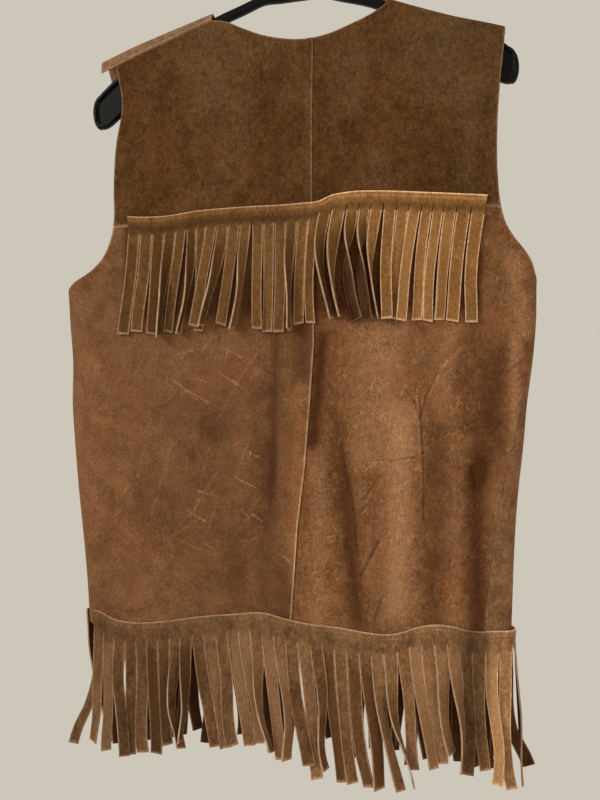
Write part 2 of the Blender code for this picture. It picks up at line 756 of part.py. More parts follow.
def make_hem_fringe_front(hand, strip, finish):
    """The strip along one front's hem, from the side seam round to the free edge."""
    first, last, count = strip
    cuts = np.linspace(first, last, count + 1)
    slit = SLIT / 2 / HALF_GIRTH * (1 if last > first else -1)
    roots = [(a + slit, b - slit) for a, b in zip(cuts[:-1], cuts[1:])]
    strands = []
    for k in range(count):
        sway = sin(1.9 * k + 0.6) * 0.6 + sin(0.7 * k) * 0.4
        stagger = sin(1.3 * k) + 0.375 * sin(4.1 * k)
        least, more = FRONT_STRAND_TURN
        strands.append({
            "low": FRONT_STRAND_LOW - FRONT_STRAND_STAGGER * stagger,
            "turn": radians(least + more * max(0.0, sin(2.3 * k + 1.0)) ** 2),
            "shift": FRONT_STRAND_SWAY * sway,
            "bow": FRONT_STRAND_BOW * cos(1.1 * k),
            "out": FRONT_STRAND_OUT * (1 + sin(3.1 * k)) + SIDE_FLARE[hand] * np.exp(-k),
        })
    if first > last:
        roots = [(b, a) for a, b in roots[::-1]]
        strands = strands[::-1]
    fringe("hem_fringe_front_" + hand, roots, strands,
           lambda x: FRONT_HEM_STRIP_TOP + 0.0 * x, HEM_BAND, finish)


def tilt(points):
    """Turn hanger points about the bearing point, the wearer's left side down."""
    c, s = cos(HANGER_TILT), sin(HANGER_TILT)
    pivot = float(HANGER_ARM["crest"][0])
    points = np.asarray(points, dtype=float)
    x = points[..., 0] * c + (points[..., 2] - pivot) * s
    z = pivot - points[..., 0] * s + (points[..., 2] - pivot) * c
    return np.stack([x, points[..., 1], z], axis=-1)


def loft(name, rings, finish, crisp_angle=40):
    """Join a row of matching rings into one closed solid with flat ends."""
    size = len(rings[0])
    points = np.concatenate(rings)
    faces = [tuple(reversed(range(size)))]
    for k in range(len(rings) - 1):
        for c in range(size):
            d = (c + 1) % size
            faces.append((k * size + c, k * size + d, (k + 1) * size + d, (k + 1) * size + c))
    faces.append(tuple((len(rings) - 1) * size + c for c in range(size)))
    return add_object(name, points, faces, finish, crisp_angle)


def hanger_ring(x, web):
    """Section of the arm: a rounded crest, a web thinned by the recess, and a lower rim."""
    reach = abs(x)
    crest = float(smooth(HANGER_ARM, "crest", reach, key="x"))
    under = float(smooth(HANGER_ARM, "under", reach, key="x"))
    rim = min(PADDLE_RIM, (crest - under) * RIM_SHARE)
    thick = RIM_HALF_THICKNESS
    inner = WEB_HALF_THICKNESS if web else thick - RIM_FACE
    rounded = CREST_ROUND * min(1, rim / PADDLE_RIM)
    half = [(0.36 * thick, crest), (0.80 * thick, crest - CREST_CHAMFER), (thick, crest - rounded),
            (thick, crest - rim), (inner, crest - rim - RIM_STEP),
            (inner, under + rim + RIM_STEP), (thick, under + rim),
            (thick, under + UNDER_CHAMFER), (0.70 * thick, under)]
    loop = half + [(-y, z) for y, z in reversed(half)]
    return tilt(np.array([(x, y, z) for y, z in loop]))


def make_hanger(finish):
    """Both arms in one piece, with a recessed panel in each paddle end."""
    half = list(zip(ARM_STATIONS["x"], ARM_STATIONS["recess"] > 0))
    stations = [(-x, web) for x, web in reversed(half)] + half[1:]
    loft("hanger", [hanger_ring(x, web)[::-1] for x, web in stations], finish, crisp_angle=35)


def make_hook(finish):
    """A plain round hook whose inside top is the bearing point."""
    centre_z = HOOK_WIRE - HOOK_RADIUS
    arc = [radians(a) for a in range(-50, 201, 14)]
    knots = list(zip(HOOK_STEM["x"], HOOK_STEM_FOOT + HOOK_STEM["up"]))
    knots += [(HOOK_RADIUS * cos(a), centre_z + HOOK_RADIUS * sin(a)) for a in arc]
    knots = np.array(knots)
    run = np.gradient(knots, axis=0)
    run = run / np.linalg.norm(run, axis=1, keepdims=True)
    rings = []
    for (x, z), (dx, dz) in zip(knots, run):
        ring = []
        for c in range(HOOK_SIDES):
            a = 2 * pi * c / HOOK_SIDES
            across = HOOK_WIRE * cos(a)
            ring.append((x + across * dz, HOOK_WIRE * sin(a), z - across * dx))
        rings.append(np.array(ring)[::-1])
    loft("hanger_hook", rings, finish, crisp_angle=50)


def clear_scene():
    """Remove every object that is in the scene."""
    for item in list(bpy.data.objects):
        bpy.data.objects.remove(item, do_unlink=True)


def main():
    clear_scene()
    yoke_suede = material("yoke suede", (0.115, 0.055, 0.020), 0.95)
    waxed_suede = material("waxed suede", (0.165, 0.075, 0.027), 0.80)
    velvet_suede = material("velvety suede", (0.140, 0.065, 0.022), 0.92)
    fringe_suede = material("fringe suede", (0.210, 0.110, 0.040), 0.92)
    moulded_black = material("moulded black plastic", (0.012, 0.012, 0.013), 0.38)
    for hand, sign in (("left", 1), ("right", -1)):
        lower = waxed_suede if hand == "left" else velvet_suede
        make_yoke(hand, sign, yoke_suede)
        make_lower_back(hand, sign, lower)
        make_front(hand, sign, lower)
    make_yoke_fringe(fringe_suede)
    make_hem_fringe_back(fringe_suede)
    make_hem_fringe_front("left", FRONT_LEFT_STRIP, fringe_suede)
    make_hem_fringe_front("right", FRONT_RIGHT_STRIP, fringe_suede)
    make_hanger(moulded_black)
    make_hook(moulded_black)


main()
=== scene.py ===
"""Fringed suede western vest on its hanger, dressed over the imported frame.

Units are metres, +Z is up. The back of the vest faces +Y and the wearer's left is +X. Every cloth
piece is a thin shell on the cloth form of its solid: a point is found from a girth station (0 centre
back, 1 side fold, 2 centre front, negative on the wearer's right) and a height up the cloth.
"""
import bpy
import bmesh
import numpy as np
from math import pi, sin, cos, sqrt, radians
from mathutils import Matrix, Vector


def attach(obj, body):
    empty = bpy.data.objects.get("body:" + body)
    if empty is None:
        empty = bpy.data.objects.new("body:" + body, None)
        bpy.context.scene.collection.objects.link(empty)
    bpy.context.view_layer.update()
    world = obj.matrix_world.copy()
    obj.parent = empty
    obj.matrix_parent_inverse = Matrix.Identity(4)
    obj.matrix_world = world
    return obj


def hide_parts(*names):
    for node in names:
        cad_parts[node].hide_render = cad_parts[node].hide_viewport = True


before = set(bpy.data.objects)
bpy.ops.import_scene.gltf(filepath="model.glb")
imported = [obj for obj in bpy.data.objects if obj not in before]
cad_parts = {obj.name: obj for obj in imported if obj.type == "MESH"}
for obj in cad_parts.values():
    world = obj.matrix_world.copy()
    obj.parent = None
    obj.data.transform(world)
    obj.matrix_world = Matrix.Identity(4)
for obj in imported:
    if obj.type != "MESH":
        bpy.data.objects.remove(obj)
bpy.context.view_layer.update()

# Cloth and seams
WALL = 0.0016
SEAM_GAP = 0.0003
STRIP_STANDOFF = 0.0006
FOLD_STANDOFF = 0.0016
FOLD_SPREAD = 0.09

# The cloth form
RIDGE_RADIUS = 0.0072
OPENING_DROP = 0.13
SECTION_POWER = 2.8
SECTION_HALF_WIDTH = 0.220
SECTION_HALF_DEPTH = 0.022
SECTION_STEPS = 1200
HALF_GIRTH = 0.235
# A short crease holds its height almost to its ends
CREASE_END = 0.04
CREASE_POWER = 0.7

# Fringe
YOKE_BAND = 0.0115
HEM_BAND = 0.0125
SLIT = 0.0006


def columns(names, *rows):
    """A small table: one array for each named column."""
    return dict(zip(names.split(), np.array(rows, dtype=float).T))


def smooth(table, name, at, key="z"):
    """Read a table column with a smooth curve through its rows; the key column may fall or rise."""
    order = np.argsort(table[key])
    k = table[key][order]
    v = table[name][order]
    slope = np.gradient(v, k)
    at = np.clip(at, k[0], k[-1])
    i = np.clip(np.searchsorted(k, at, side="right") - 1, 0, len(k) - 2)
    step = k[i + 1] - k[i]
    t = (at - k[i]) / step
    a = (1 + 2 * t) * (1 - t) ** 2 * v[i] + t * (1 - t) ** 2 * step * slope[i]
    b = t * t * (3 - 2 * t) * v[i + 1] + t * t * (t - 1) * step * slope[i + 1]
    return a + b


def straight(table, name, at, key="z"):
    """Read a table column with straight lines between its rows."""
    order = np.argsort(table[key])
    return np.interp(at, table[key][order], table[name][order])


def ease(t):
    """Smooth step from 0 to 1."""
    t = np.clip(t, 0.0, 1.0)
    return t * t * (3 - 2 * t)


def rows_of(table):
    """The rows of a table, as plain numbers."""
    return zip(*(column.tolist() for column in table.values()))


# Half widths to the wearer's left and right, and how far the back and the fronts stand from the
# middle, by height
BODY = columns(
    "z      left    right   back    front",
    (-0.100, 0.3000, 0.3000, 0.0135, 0.0135),
    (-0.200, 0.2750, 0.2750, 0.0165, 0.0185),
    (-0.300, 0.2500, 0.2520, 0.0190, 0.0235),
    (-0.385, 0.2388, 0.2380, 0.0200, 0.0265),
    (-0.422, 0.2364, 0.2374, 0.0205, 0.0275),
    (-0.457, 0.2335, 0.2348, 0.0210, 0.0280),
    (-0.505, 0.2338, 0.2288, 0.0215, 0.0285),
    (-0.541, 0.2314, 0.2258, 0.0215, 0.0290),
    (-0.592, 0.2270, 0.2204, 0.0215, 0.0295),
    (-0.642, 0.2215, 0.2172, 0.0215, 0.0300),
    (-0.675, 0.2183, 0.2160, 0.0215, 0.0305),
    (-0.723, 0.2150, 0.2146, 0.0220, 0.0310),
    (-0.800, 0.2140, 0.2160, 0.0230, 0.0310),
    (-0.890, 0.2130, 0.2200, 0.0240, 0.0310),
)
# The crest line of the shoulders
RIDGE = columns(
    "x       z",
    (0.230, -0.1580),
    (0.200, -0.1478),
    (0.167, -0.1350),
    (0.133, -0.1235),
    (0.082, -0.1070),
    (0.000, -0.0800),
    (-0.082, -0.1015),
    (-0.124, -0.1165),
    (-0.156, -0.1275),
    (-0.203, -0.1410),
    (-0.230, -0.1500),
)
# Folds of the hung cloth: where each starts and ends, its half width, and its height (troughs
# are negative)
BACK_FOLDS = columns(
    "x_top   z_top   x_low   z_low   width  height",
    (0.018, -0.440, 0.010, -0.715, 0.014, -0.0032),
    (0.105, -0.450, 0.095, -0.715, 0.034, 0.0024),
    (0.180, -0.460, 0.172, -0.710, 0.016, -0.0022),
    (-0.050, -0.480, -0.053, -0.715, 0.014, -0.0030),
    (-0.108, -0.440, -0.120, -0.705, 0.020, 0.0030),
    (-0.182, -0.440, -0.172, -0.710, 0.017, -0.0034),
)
FRONT_FOLDS = columns(
    "x_top   z_top   x_low   z_low   width  height",
    (0.150, -0.360, 0.160, -0.700, 0.020, -0.0034),
    (0.090, -0.300, 0.085, -0.710, 0.028, 0.0030),
    (-0.155, -0.350, -0.150, -0.705, 0.020, -0.0036),
    (-0.085, -0.320, -0.095, -0.700, 0.026, 0.0028),
)

# Short creases and puckers of the back, each from one point to another; ridges are positive
BACK_CREASES = columns(
    "x0      z0      x1      z1      width   height",
    (-0.1080, -0.4700, -0.1300, -0.5800, 0.0030, -0.0014),
    (-0.1300, -0.5700, -0.1335, -0.6650, 0.0028, -0.0011),
    (-0.0780, -0.5590, -0.1120, -0.5550, 0.0026, -0.0014),
    (-0.0910, -0.5640, -0.0725, -0.6060, 0.0050, 0.0011),
    (-0.0965, -0.6150, -0.0780, -0.6550, 0.0050, 0.0011),
    (0.0060, -0.4460, 0.0180, -0.5700, 0.0070, -0.0014),
    (0.0180, -0.5600, 0.0250, -0.6500, 0.0080, -0.0012),
    (-0.0450, -0.5190, -0.0680, -0.6780, 0.0070, -0.0014),
    (-0.2040, -0.4300, -0.1740, -0.5700, 0.0080, -0.0012),
    (-0.1740, -0.5600, -0.1820, -0.6600, 0.0090, -0.0010),
    (0.2180, -0.4100, 0.1900, -0.4450, 0.0060, -0.0013),
    (-0.2200, -0.4050, -0.1950, -0.4350, 0.0060, -0.0014),
    (0.1500, -0.6700, 0.1300, -0.7200, 0.0080, 0.0016),
    (-0.0300, -0.2600, -0.0700, -0.2300, 0.0100, 0.0010),
    (0.1500, -0.1900, 0.1100, -0.2300, 0.0110, -0.0013),
    (-0.1700, -0.1800, -0.1300, -0.2300, 0.0110, -0.0013),
)
FRONT_CREASES = columns(
    "x0      z0      x1      z1      width   height",
    (0.1800, -0.3600, 0.1350, -0.4300, 0.0070, -0.0012),
    (0.1300, -0.4200, 0.1200, -0.5400, 0.0060, -0.0010),
    (0.0600, -0.5000, 0.0720, -0.6400, 0.0070, 0.0011),
    (0.0350, -0.3500, 0.0650, -0.4600, 0.0080, 0.0009),
    (0.1900, -0.5600, 0.1750, -0.6700, 0.0080, -0.0012),
    (-0.1820, -0.3700, -0.1300, -0.4400, 0.0070, -0.0012),
    (-0.1250, -0.4300, -0.1150, -0.5600, 0.0060, -0.0011),
    (-0.0500, -0.5200, -0.0680, -0.6600, 0.0070, 0.0010),
    (-0.0300, -0.3600, -0.0600, -0.4500, 0.0080, 0.0008),
    (-0.1800, -0.5800, -0.1700, -0.6800, 0.0080, -0.0011),
)

# Edges of the pieces: across against height, or height against across
CENTRE_SEAM = columns(
    "z      x",
    (-0.140, -0.0216),
    (-0.306, -0.0226),
    (-0.4435, -0.0250),
    (-0.499, -0.0213),
    (-0.566, -0.0160),
    (-0.625, -0.0088),
    (-0.735, -0.0015),
)
BACK_ARMHOLE = columns(
    "z      left    right",
    (-0.130, 0.1890, 0.2090),
    (-0.156, 0.1840, 0.2078),
    (-0.195, 0.1762, 0.2040),
    (-0.240, 0.1812, 0.2012),
    (-0.285, 0.1828, 0.2014),
    (-0.321, 0.1830, 0.2055),
    (-0.334, 0.1858, 0.2095),
    (-0.347, 0.1910, 0.2175),
    (-0.359, 0.1995, 0.2270),
    (-0.370, 0.2140, 0.2335),
    (-0.378, 0.2300, 0.2358),
    (-0.386, 0.2388, 0.2380),
)
FRONT_ARMHOLE = columns(
    "z      left    right",
    (-0.120, 0.2000, 0.2090),
    (-0.149, 0.1985, 0.2070),
    (-0.170, 0.1930, 0.2000),
    (-0.210, 0.1830, 0.1900),
    (-0.260, 0.1770, 0.1840),
    (-0.310, 0.1790, 0.1860),
    (-0.340, 0.1880, 0.1950),
    (-0.359, 0.2010, 0.2080),
    (-0.370, 0.2150, 0.2210),
    (-0.378, 0.2290, 0.2320),
    (-0.386, 0.2388, 0.2380),
)
# Girth station of the side seams: the wearer's right seam lies on the back at the hem
SIDE_SEAM = columns(
    "z      left   right",
    (-0.386, 1.000, 1.000),
    (-0.500, 0.995, 0.955),
    (-0.620, 0.990, 0.890),
    (-0.740, 0.985, 0.845),
)
FRONT_EDGE = columns(
    "z      left    right",
    (-0.105, 0.0815, 0.0975),
    (-0.122, 0.0790, 0.0935),
    (-0.160, 0.0690, 0.0800),
    (-0.220, 0.0480, 0.0550),
    (-0.280, 0.0270, 0.0300),
    (-0.330, 0.0130, 0.0135),
    (-0.390, 0.0100, 0.0100),
    (-0.740, 0.0110, 0.0110),
)
NECKLINE = columns(
    "x       z",
    (0.0815, -0.1160),
    (0.0683, -0.1178),
    (0.0487, -0.1268),
    (0.0292, -0.1352),
    (0.0089, -0.1406),
    (-0.0140, -0.1430),
    (-0.0381, -0.1395),
    (-0.0589, -0.1318),
    (-0.0804, -0.1225),
    (-0.0940, -0.1145),
)
# How far down the back the left front reaches past the shoulder crest, by distance across
LEFT_SHOULDER_SEAM = columns(
    "x      over",
    (0.0815, 0.0125),
    (0.1300, 0.0150),
    (0.1890, 0.0175),
)
RIGHT_SHOULDER_OVER = 0.008
# Ends of the two necklines on the back, and how far across the right one climbs over the crest
NECK_POINT = {"left": 0.0815, "right": -0.0940}
RIGHT_NECK_CLIMB = 0.0060
YOKE_SEAM_HEIGHT = -0.3192
YOKE_SEAM_SLOPE = -0.0155
YOKE_STRIP_TOP = columns(
    "x       z",
    (0.1673, -0.3117),
    (0.1470, -0.3142),
    (0.1194, -0.3146),
    (0.0869, -0.3109),
    (0.0476, -0.3091),
    (-0.0120, -0.3076),
    (-0.0299, -0.3058),
    (-0.0388, -0.3013),
    (-0.0486, -0.2994),
    (-0.0594, -0.2983),
    (-0.0769, -0.2986),
    (-0.1249, -0.3022),
    (-0.1886, -0.3075),
)
HEM_STRIP_TOP = columns(
    "x       z",
    (0.2150, -0.7165),
    (0.1990, -0.7230),
    (0.1795, -0.7256),
    (0.1430, -0.7229),
    (0.1019, -0.7163),
    (0.0604, -0.7115),
    (0.0242, -0.7088),
    (0.0000, -0.7140),
    (-0.0243, -0.7174),
    (-0.0568, -0.7197),
    (-0.0839, -0.7232),
    (-0.1051, -0.7241),
    (-0.1194, -0.7215),
    (-0.1355, -0.7159),
    (-0.1524, -0.7132),
    (-0.1701, -0.7143),
    (-0.1867, -0.7182),
    (-0.2146, -0.7185),
)
FRONT_HEM_STRIP_TOP = -0.7180

# Heights of the rows of each panel; both sides of a side seam share the first
SIDE_ROWS = (-0.7350, -0.7050, -0.6720, -0.6380, -0.6040, -0.5700, -0.5360, -0.5020, -0.4700,
             -0.4420, -0.4180, -0.4000, -0.3860)
ARMHOLE_ROWS = (-0.3740, -0.3600, -0.3430)
YOKE_ROWS = (-0.3200, -0.2920, -0.2640, -0.2360, -0.2100, -0.1890, -0.1740)
UPPER_FRONT_ROWS = (-0.3200, -0.2900, -0.2600, -0.2300, -0.2050, -0.1860, -0.1740)
# Close rows where a piece rounds the shoulder crest
CREST_ROWS = tuple(-0.1740 + 0.0044 * k for k in range(1, 9))

# Strands of the yoke fringe, in millimetres and degrees: where the strand is cut, where its tip
# hangs, how high the tip is, how far it has turned there, its sideways bow and its stand-off
YOKE_STRANDS = columns(
    "root     tip     low     turn  bow  out",
    (159.9, 169.4, -433.2, 0, 0.0, 0.0),
    (146.6, 155.7, -430.8, 0, 0.0, 0.0),
    (132.8, 139.2, -433.6, 0, 1.0, 0.0),
    (120.6, 130.4, -436.7, 86, 0.0, 0.0),
    (109.1, 122.2, -431.8, 8, 0.0, 0.0),
    (98.1, 108.2, -434.0, 84, -2.0, 0.0),
    (88.2, 90.6, -431.3, 6, 0.0, 0.0),
    (77.3, 93.6, -426.8, 0, 0.0, 5.0),
    (65.4, 83.6, -426.4, 84, -1.5, 0.0),
    (52.6, 67.3, -425.2, 8, 0.0, 0.0),
    (41.4, 54.5, -429.8, 84, -1.0, 0.0),
    (30.2, 29.6, -430.2, 0, 0.0, 4.0),
    (18.6, 19.6, -433.3, 0, 0.0, 0.0),
    (7.5, 7.9, -433.5, 0, 0.0, 0.0),
    (-4.5, -0.4, -431.6, 86, 0.0, 0.0),
    (-16.5, -12.5, -426.0, 0, 1.5, 0.0),
    (-26.9, -23.9, -425.2, 0, 3.0, 0.0),
    (-37.7, -43.5, -421.6, 82, 8.0, 0.0),
    (-51.4, -53.3, -419.9, 86, 6.0, 0.0),
    (-65.1, -67.6, -422.1, 165, 5.0, 0.0),
    (-76.3, -79.6, -422.3, 165, 5.0, 0.0),
    (-87.4, -88.0, -421.4, 100, 4.0, 0.0),
    (-99.8, -97.0, -422.5, 0, 0.0, 4.5),
    (-112.3, -104.2, -422.7, 5, 0.0, 0.0),
    (-124.1, -110.6, -424.7, 10, 0.0, 5.0),
    (-135.5, -125.8, -424.0, 0, 0.0, 0.0),
    (-145.8, -136.2, -425.1, 0, 0.0, 0.0),
    (-156.6, -146.8, -424.3, 38, 0.0, 0.0),
    (-170.1, -159.7, -425.5, 0, 0.0, 0.0),
    (-183.5, -176.1, -426.7, 0, 0.0, 0.0),
)
# Strands of the hem fringe on the back, cut at even steps
HEM_STRANDS = columns(
    "tip     low     turn  bow  out",
    (203.0, -851.2, 10, 0.0, 0.0),
    (185.1, -857.0, 0, 2.0, 0.0),
    (169.5, -857.9, 62, 0.0, 1.0),
    (158.3, -858.0, 0, 0.0, 0.0),
    (147.0, -855.2, 0, 0.0, 0.0),
    (133.3, -855.1, 5, 1.0, 0.0),
    (120.6, -845.2, 0, 0.0, 0.0),
    (108.6, -844.3, 75, 0.0, 1.0),
    (98.6, -837.6, 70, 3.0, 2.0),
    (72.7, -840.6, 40, -2.0, 1.0),
    (61.0, -841.8, 0, -1.0, 0.0),
    (49.1, -839.9, 30, 0.0, 0.0),
    (37.0, -838.0, 0, 0.0, 0.0),
    (25.7, -836.3, 20, 0.0, 0.0),
    (15.2, -842.4, 70, 0.0, 0.0),
    (3.6, -850.3, 0, 1.5, 0.0),
    (-8.4, -847.5, 50, 0.0, 0.0),
    (-19.9, -852.5, 20, 0.0, 0.0),
    (-34.0, -865.8, 0, 0.0, 0.0),
    (-44.8, -854.4, 60, 0.0, 0.0),
    (-54.0, -867.3, 0, 1.0, 0.0),
    (-67.2, -867.0, 0, 1.0, 0.0),
    (-80.4, -869.8, 0, 1.5, 0.0),
    (-94.2, -869.6, 20, 1.0, 0.0),
    (-108.0, -869.4, 75, 0.0, 0.0),
    (-117.6, -862.7, 75, 0.0, 0.0),
    (-127.2, -850.0, 10, 0.0, 0.0),
    (-138.6, -847.2, 20, 0.0, 0.0),
    (-149.6, -843.5, 0, 0.0, 0.0),
    (-159.6, -832.3, 50, 0.0, 0.0),
    (-167.2, -848.0, 78, 0.0, 0.0),
    (-175.6, -852.8, 8, 0.0, 0.0),
    (-187.0, -848.2, 0, 0.0, 0.0),
)
HEM_ROOTS = (0.2052, -0.1900)
# The fronts' hem fringes: girth stations of each strip's ends and how many strands it has
FRONT_LEFT_STRIP = (0.992, 1.944, 18)
FRONT_RIGHT_STRIP = (-0.862, -1.944, 20)
FRONT_STRAND_LOW = -0.8600
FRONT_STRAND_STAGGER = 0.008
FRONT_STRAND_SWAY = 0.003
FRONT_STRAND_BOW = 0.001
FRONT_STRAND_OUT = 0.0015
FRONT_STRAND_TURN = (20, 45)
SIDE_TURN = {"left": 45, "right": -75}
SIDE_FLARE = {"left": 0.0065, "right": 0.0030}

# The hanger's arm: crest and underside heights by distance from the neck, before it is tilted
HANGER_ARM = columns(
    "x      crest    under",
    (0.0000, -0.0830, -0.1010),
    (0.0120, -0.0838, -0.1010),
    (0.0300, -0.0908, -0.1010),
    (0.0450, -0.0962, -0.1060),
    (0.0820, -0.1083, -0.1190),
    (0.1000, -0.1158, -0.1285),
    (0.1200, -0.1247, -0.1400),
    (0.1500, -0.1372, -0.1640),
    (0.1750, -0.1500, -0.1860),
    (0.1900, -0.1580, -0.1990),
    (0.2000, -0.1655, -0.2060),
    (0.2080, -0.1725, -0.2075),
    (0.2135, -0.1790, -0.2040),
    (0.2165, -0.1860, -0.1965),
)
HANGER_TILT = radians(2.8)
HANGER_HALF_THICKNESS = 0.0046
HANGER_EDGE_ROUND = 0.0020
PADDLE_RIM = 0.0050
RIM_SHARE = 0.38
RIM_SLOPE = 0.0008
RECESS_DEPTH = 0.0028
RECESS_START = (0.112, 0.122)
PADDLE_TIP_START = 0.2080
PADDLE_TIP_REACH = 0.0087
ARM_STEP = 0.0025
TIP_STEP = 0.0004
TIP_END = 0.998
RIM_STEPS = (0.0, 0.03, 0.10, 0.20, 0.32, 0.5, 0.75, 1.0)
PANEL_STEPS = 4
SLOPE_SHARE = 0.4

# Fineness of the dressed cloth
ROW_PARTS = 5
COLUMN_PARTS = 5
BACK_COLUMNS = (14, 1.3)
FRONT_COLUMNS = (12, 1.25)
NECK_COLUMNS = 6
CLIMB_COLUMNS = 6
ARM_COLUMNS = 7
END_REACH = 0.16
SETTLING_ROUNDS = 6
TOUCHING = 1e-6
SMALL_GIRTH_STEP = 0.004
SMALL_HEIGHT_STEP = 0.0008
SECTION_HEIGHT = -0.5
BAND_ROWS = (0.0, 0.10, 0.32, 0.66, 1.0)
STRAND_STEPS = 16
STRAND_WAVE = 0.0013
STRAND_FILL = 1.05
TURNED_SWING = 1.6
HEM_WAVE = 0.0045
STRAND_CUP = 0.0007
STRAND_REACH = 0.110
YOKE_THINNING = 0.08
HEM_THINNING = 0.20
STRAND_STAGGER = 0.0005
TIP_SLANT = 0.0009
# How far down its fall a strand has reached its full turn, width, stand-off and cup
TURN_BY = 0.75
FILL_BY = 0.1
THIN_BY = 0.6
CUP_BY = 0.3
CURL_FROM = 0.45
CURL_OVER = 0.5
CURL = 22.0
WAVE_TURNS = (4.2, 1.6)
WAVE_SHARE = 0.6
SHIFT_POWER = 1.1
# What sets one strand apart from the next: how fast it runs from strand to strand, and where it
# starts
RHYTHM = {
    "thin": (5.3, 1.0),
    "curl": (2.9, 0.4),
    "wave": (2.1, 0.0),
    "cup": (2.3, 0.0),
    "slant": (3.7, 0.0),
    "tone": (12.9898, 0.0),
    "slow_tone": (4.1, 0.0),
    "sway": (1.9, 0.6),
    "slow_sway": (0.7, 0.0),
    "length": (1.3, 0.0),
    "quick_length": (4.1, 0.0),
    "turn": (2.3, 1.0),
    "out": (3.1, 0.0),
}
WAVE_PHASE = 1.7
BOW_RATE = 1.1
QUICK_SHARE = 0.375
MAIN_SHARE = 0.6
SLOW_SHARE = 0.4
SIDE_FADE = 0.5
TONE_QUICKNESS = 4

# The centre seam: the left half stands over the right
LAP_OVER = 0.0010
LAP_UNDER = 0.0007
YOKE_LAP = 0.0005
LAP_WIDTH = 0.0016
LAP_REACH = 0.0035

# Borders that are sewn count as far from a raw edge; below this height the outer border is a seam
SEWN_DISTANCE = 0.05
ARMHOLE_FOOT = -0.385

# Thread
STITCH_PITCH = 0.0036
STITCH_SHARE = 0.70
THREAD_RADIUS = 0.00030
THREAD_SIDES = 5
STITCH_ARCH = (-0.4, 0.5, 0.75, 0.5, -0.4)
STITCH_END = 0.75
STITCH_PATH_POINTS = 240
STITCH_INSET = 0.003
YOKE_STITCH_ENDS = (-0.186, 0.164)
YOKE_STITCH_ROW = 0.0026
HEM_STITCH_ROWS = (0.0032, 0.0062)

# Colours of the hide and thread
YOKE_DARK = (0.058, 0.0242, 0.0066)
YOKE_LIGHT = (0.112, 0.0520, 0.0165)
# Pale tone of the yoke's paler marks: partly rubbed wear, partly painted light
YOKE_RUBBED_AND_LIT = (0.270, 0.170, 0.0950)
WAXED_DARK = (0.108, 0.043, 0.0150)
WAXED_LIGHT = (0.182, 0.084, 0.0345)
WAXED_WARM = (0.175, 0.066, 0.0270)
VELVET_DARK = (0.134, 0.0540, 0.0195)
VELVET_LIGHT = (0.236, 0.1120, 0.0480)
YOKE_FRINGE_DARK = (0.088, 0.0390, 0.0110)
YOKE_FRINGE_LIGHT = (0.170, 0.0820, 0.0280)
HEM_FRINGE_DARK = (0.076, 0.0345, 0.0138)
HEM_FRINGE_LIGHT = (0.194, 0.1015, 0.0480)
# Backs of the strands and strips: darker suede as painted shade
SHADED_UNDERSIDE_DARK = (0.050, 0.018, 0.0070)
SHADED_UNDERSIDE_LIGHT = (0.085, 0.034, 0.0130)
EDGE_DARK = (0.230, 0.125, 0.055)
EDGE_LIGHT = (0.400, 0.240, 0.120)
STRAND_EDGE_DARK = (0.310, 0.185, 0.110)
STRAND_EDGE_LIGHT = (0.500, 0.325, 0.215)
THREAD_DARK = (0.075, 0.038, 0.016)
THREAD_LIGHT = (0.250, 0.150, 0.075)
FRONTS = {
    "left": ((0.158, 0.091, 0.0480), (0.275, 0.167, 0.0910)),
    "right": ((0.160, 0.074, 0.0330), (0.275, 0.142, 0.0700)),
}
FLESH_DARK = (0.150, 0.080, 0.034)
FLESH_LIGHT = (0.225, 0.128, 0.060)
# What rubbing brings out: pale fibre at raw edges and on the high places, also used as painted light on lit
# crests
RUBBED_AND_LIT_HIDE = (0.430, 0.218, 0.108)
# Dark tone of painted shade, for troughs and the fringe's shadow
PAINTED_SHADE_TONE = (0.070, 0.0240, 0.0080)
RUBBED_EDGE = (0.470, 0.290, 0.175)
SURROUND = (0.610, 0.567, 0.490)

# Soft marks in the colour: negative ones are painted shade in troughs and beside seams;
# positive ones are paler bands, partly rubbed wear and partly painted light on lit slopes and crests
YOKE_SHADING_AND_RUB_MARKS = columns(
    "x_top   z_top   x_low   z_low   width  level",
    (0.0709, -0.0867, 0.0966, -0.2229, 0.0420, 0.14),
    (-0.1573, -0.1070, -0.1388, -0.2275, 0.0450, 0.16),
    (-0.2012, -0.1480, -0.1976, -0.3516, 0.0050, 0.12),
    (0.0154, -0.1013, -0.0045, -0.2192, 0.0200, 0.12),
    (0.0505, -0.1375, 0.0455, -0.2945, 0.0240, 0.04),
    (0.0354, -0.2070, 0.0966, -0.3169, 0.0260, 0.06),
    (0.1173, -0.1621, 0.1277, -0.3008, 0.0160, -0.14),
    (-0.0202, -0.1720, -0.0212, -0.3360, 0.0040, 0.10),
    (-0.0300, -0.1727, -0.0310, -0.3364, 0.0036, -0.26),
    (-0.0630, -0.1368, -0.0582, -0.2321, 0.0160, 0.12),
    (-0.1107, -0.1785, -0.1294, -0.3023, 0.0300, -0.08),
    (-0.1757, -0.1832, -0.1739, -0.3136, 0.0120, 0.12),
    (-0.0917, -0.2531, -0.0841, -0.3240, 0.0200, 0.10),
    (0.0154, -0.1402, 0.0134, -0.3056, 0.0160, -0.12),
)
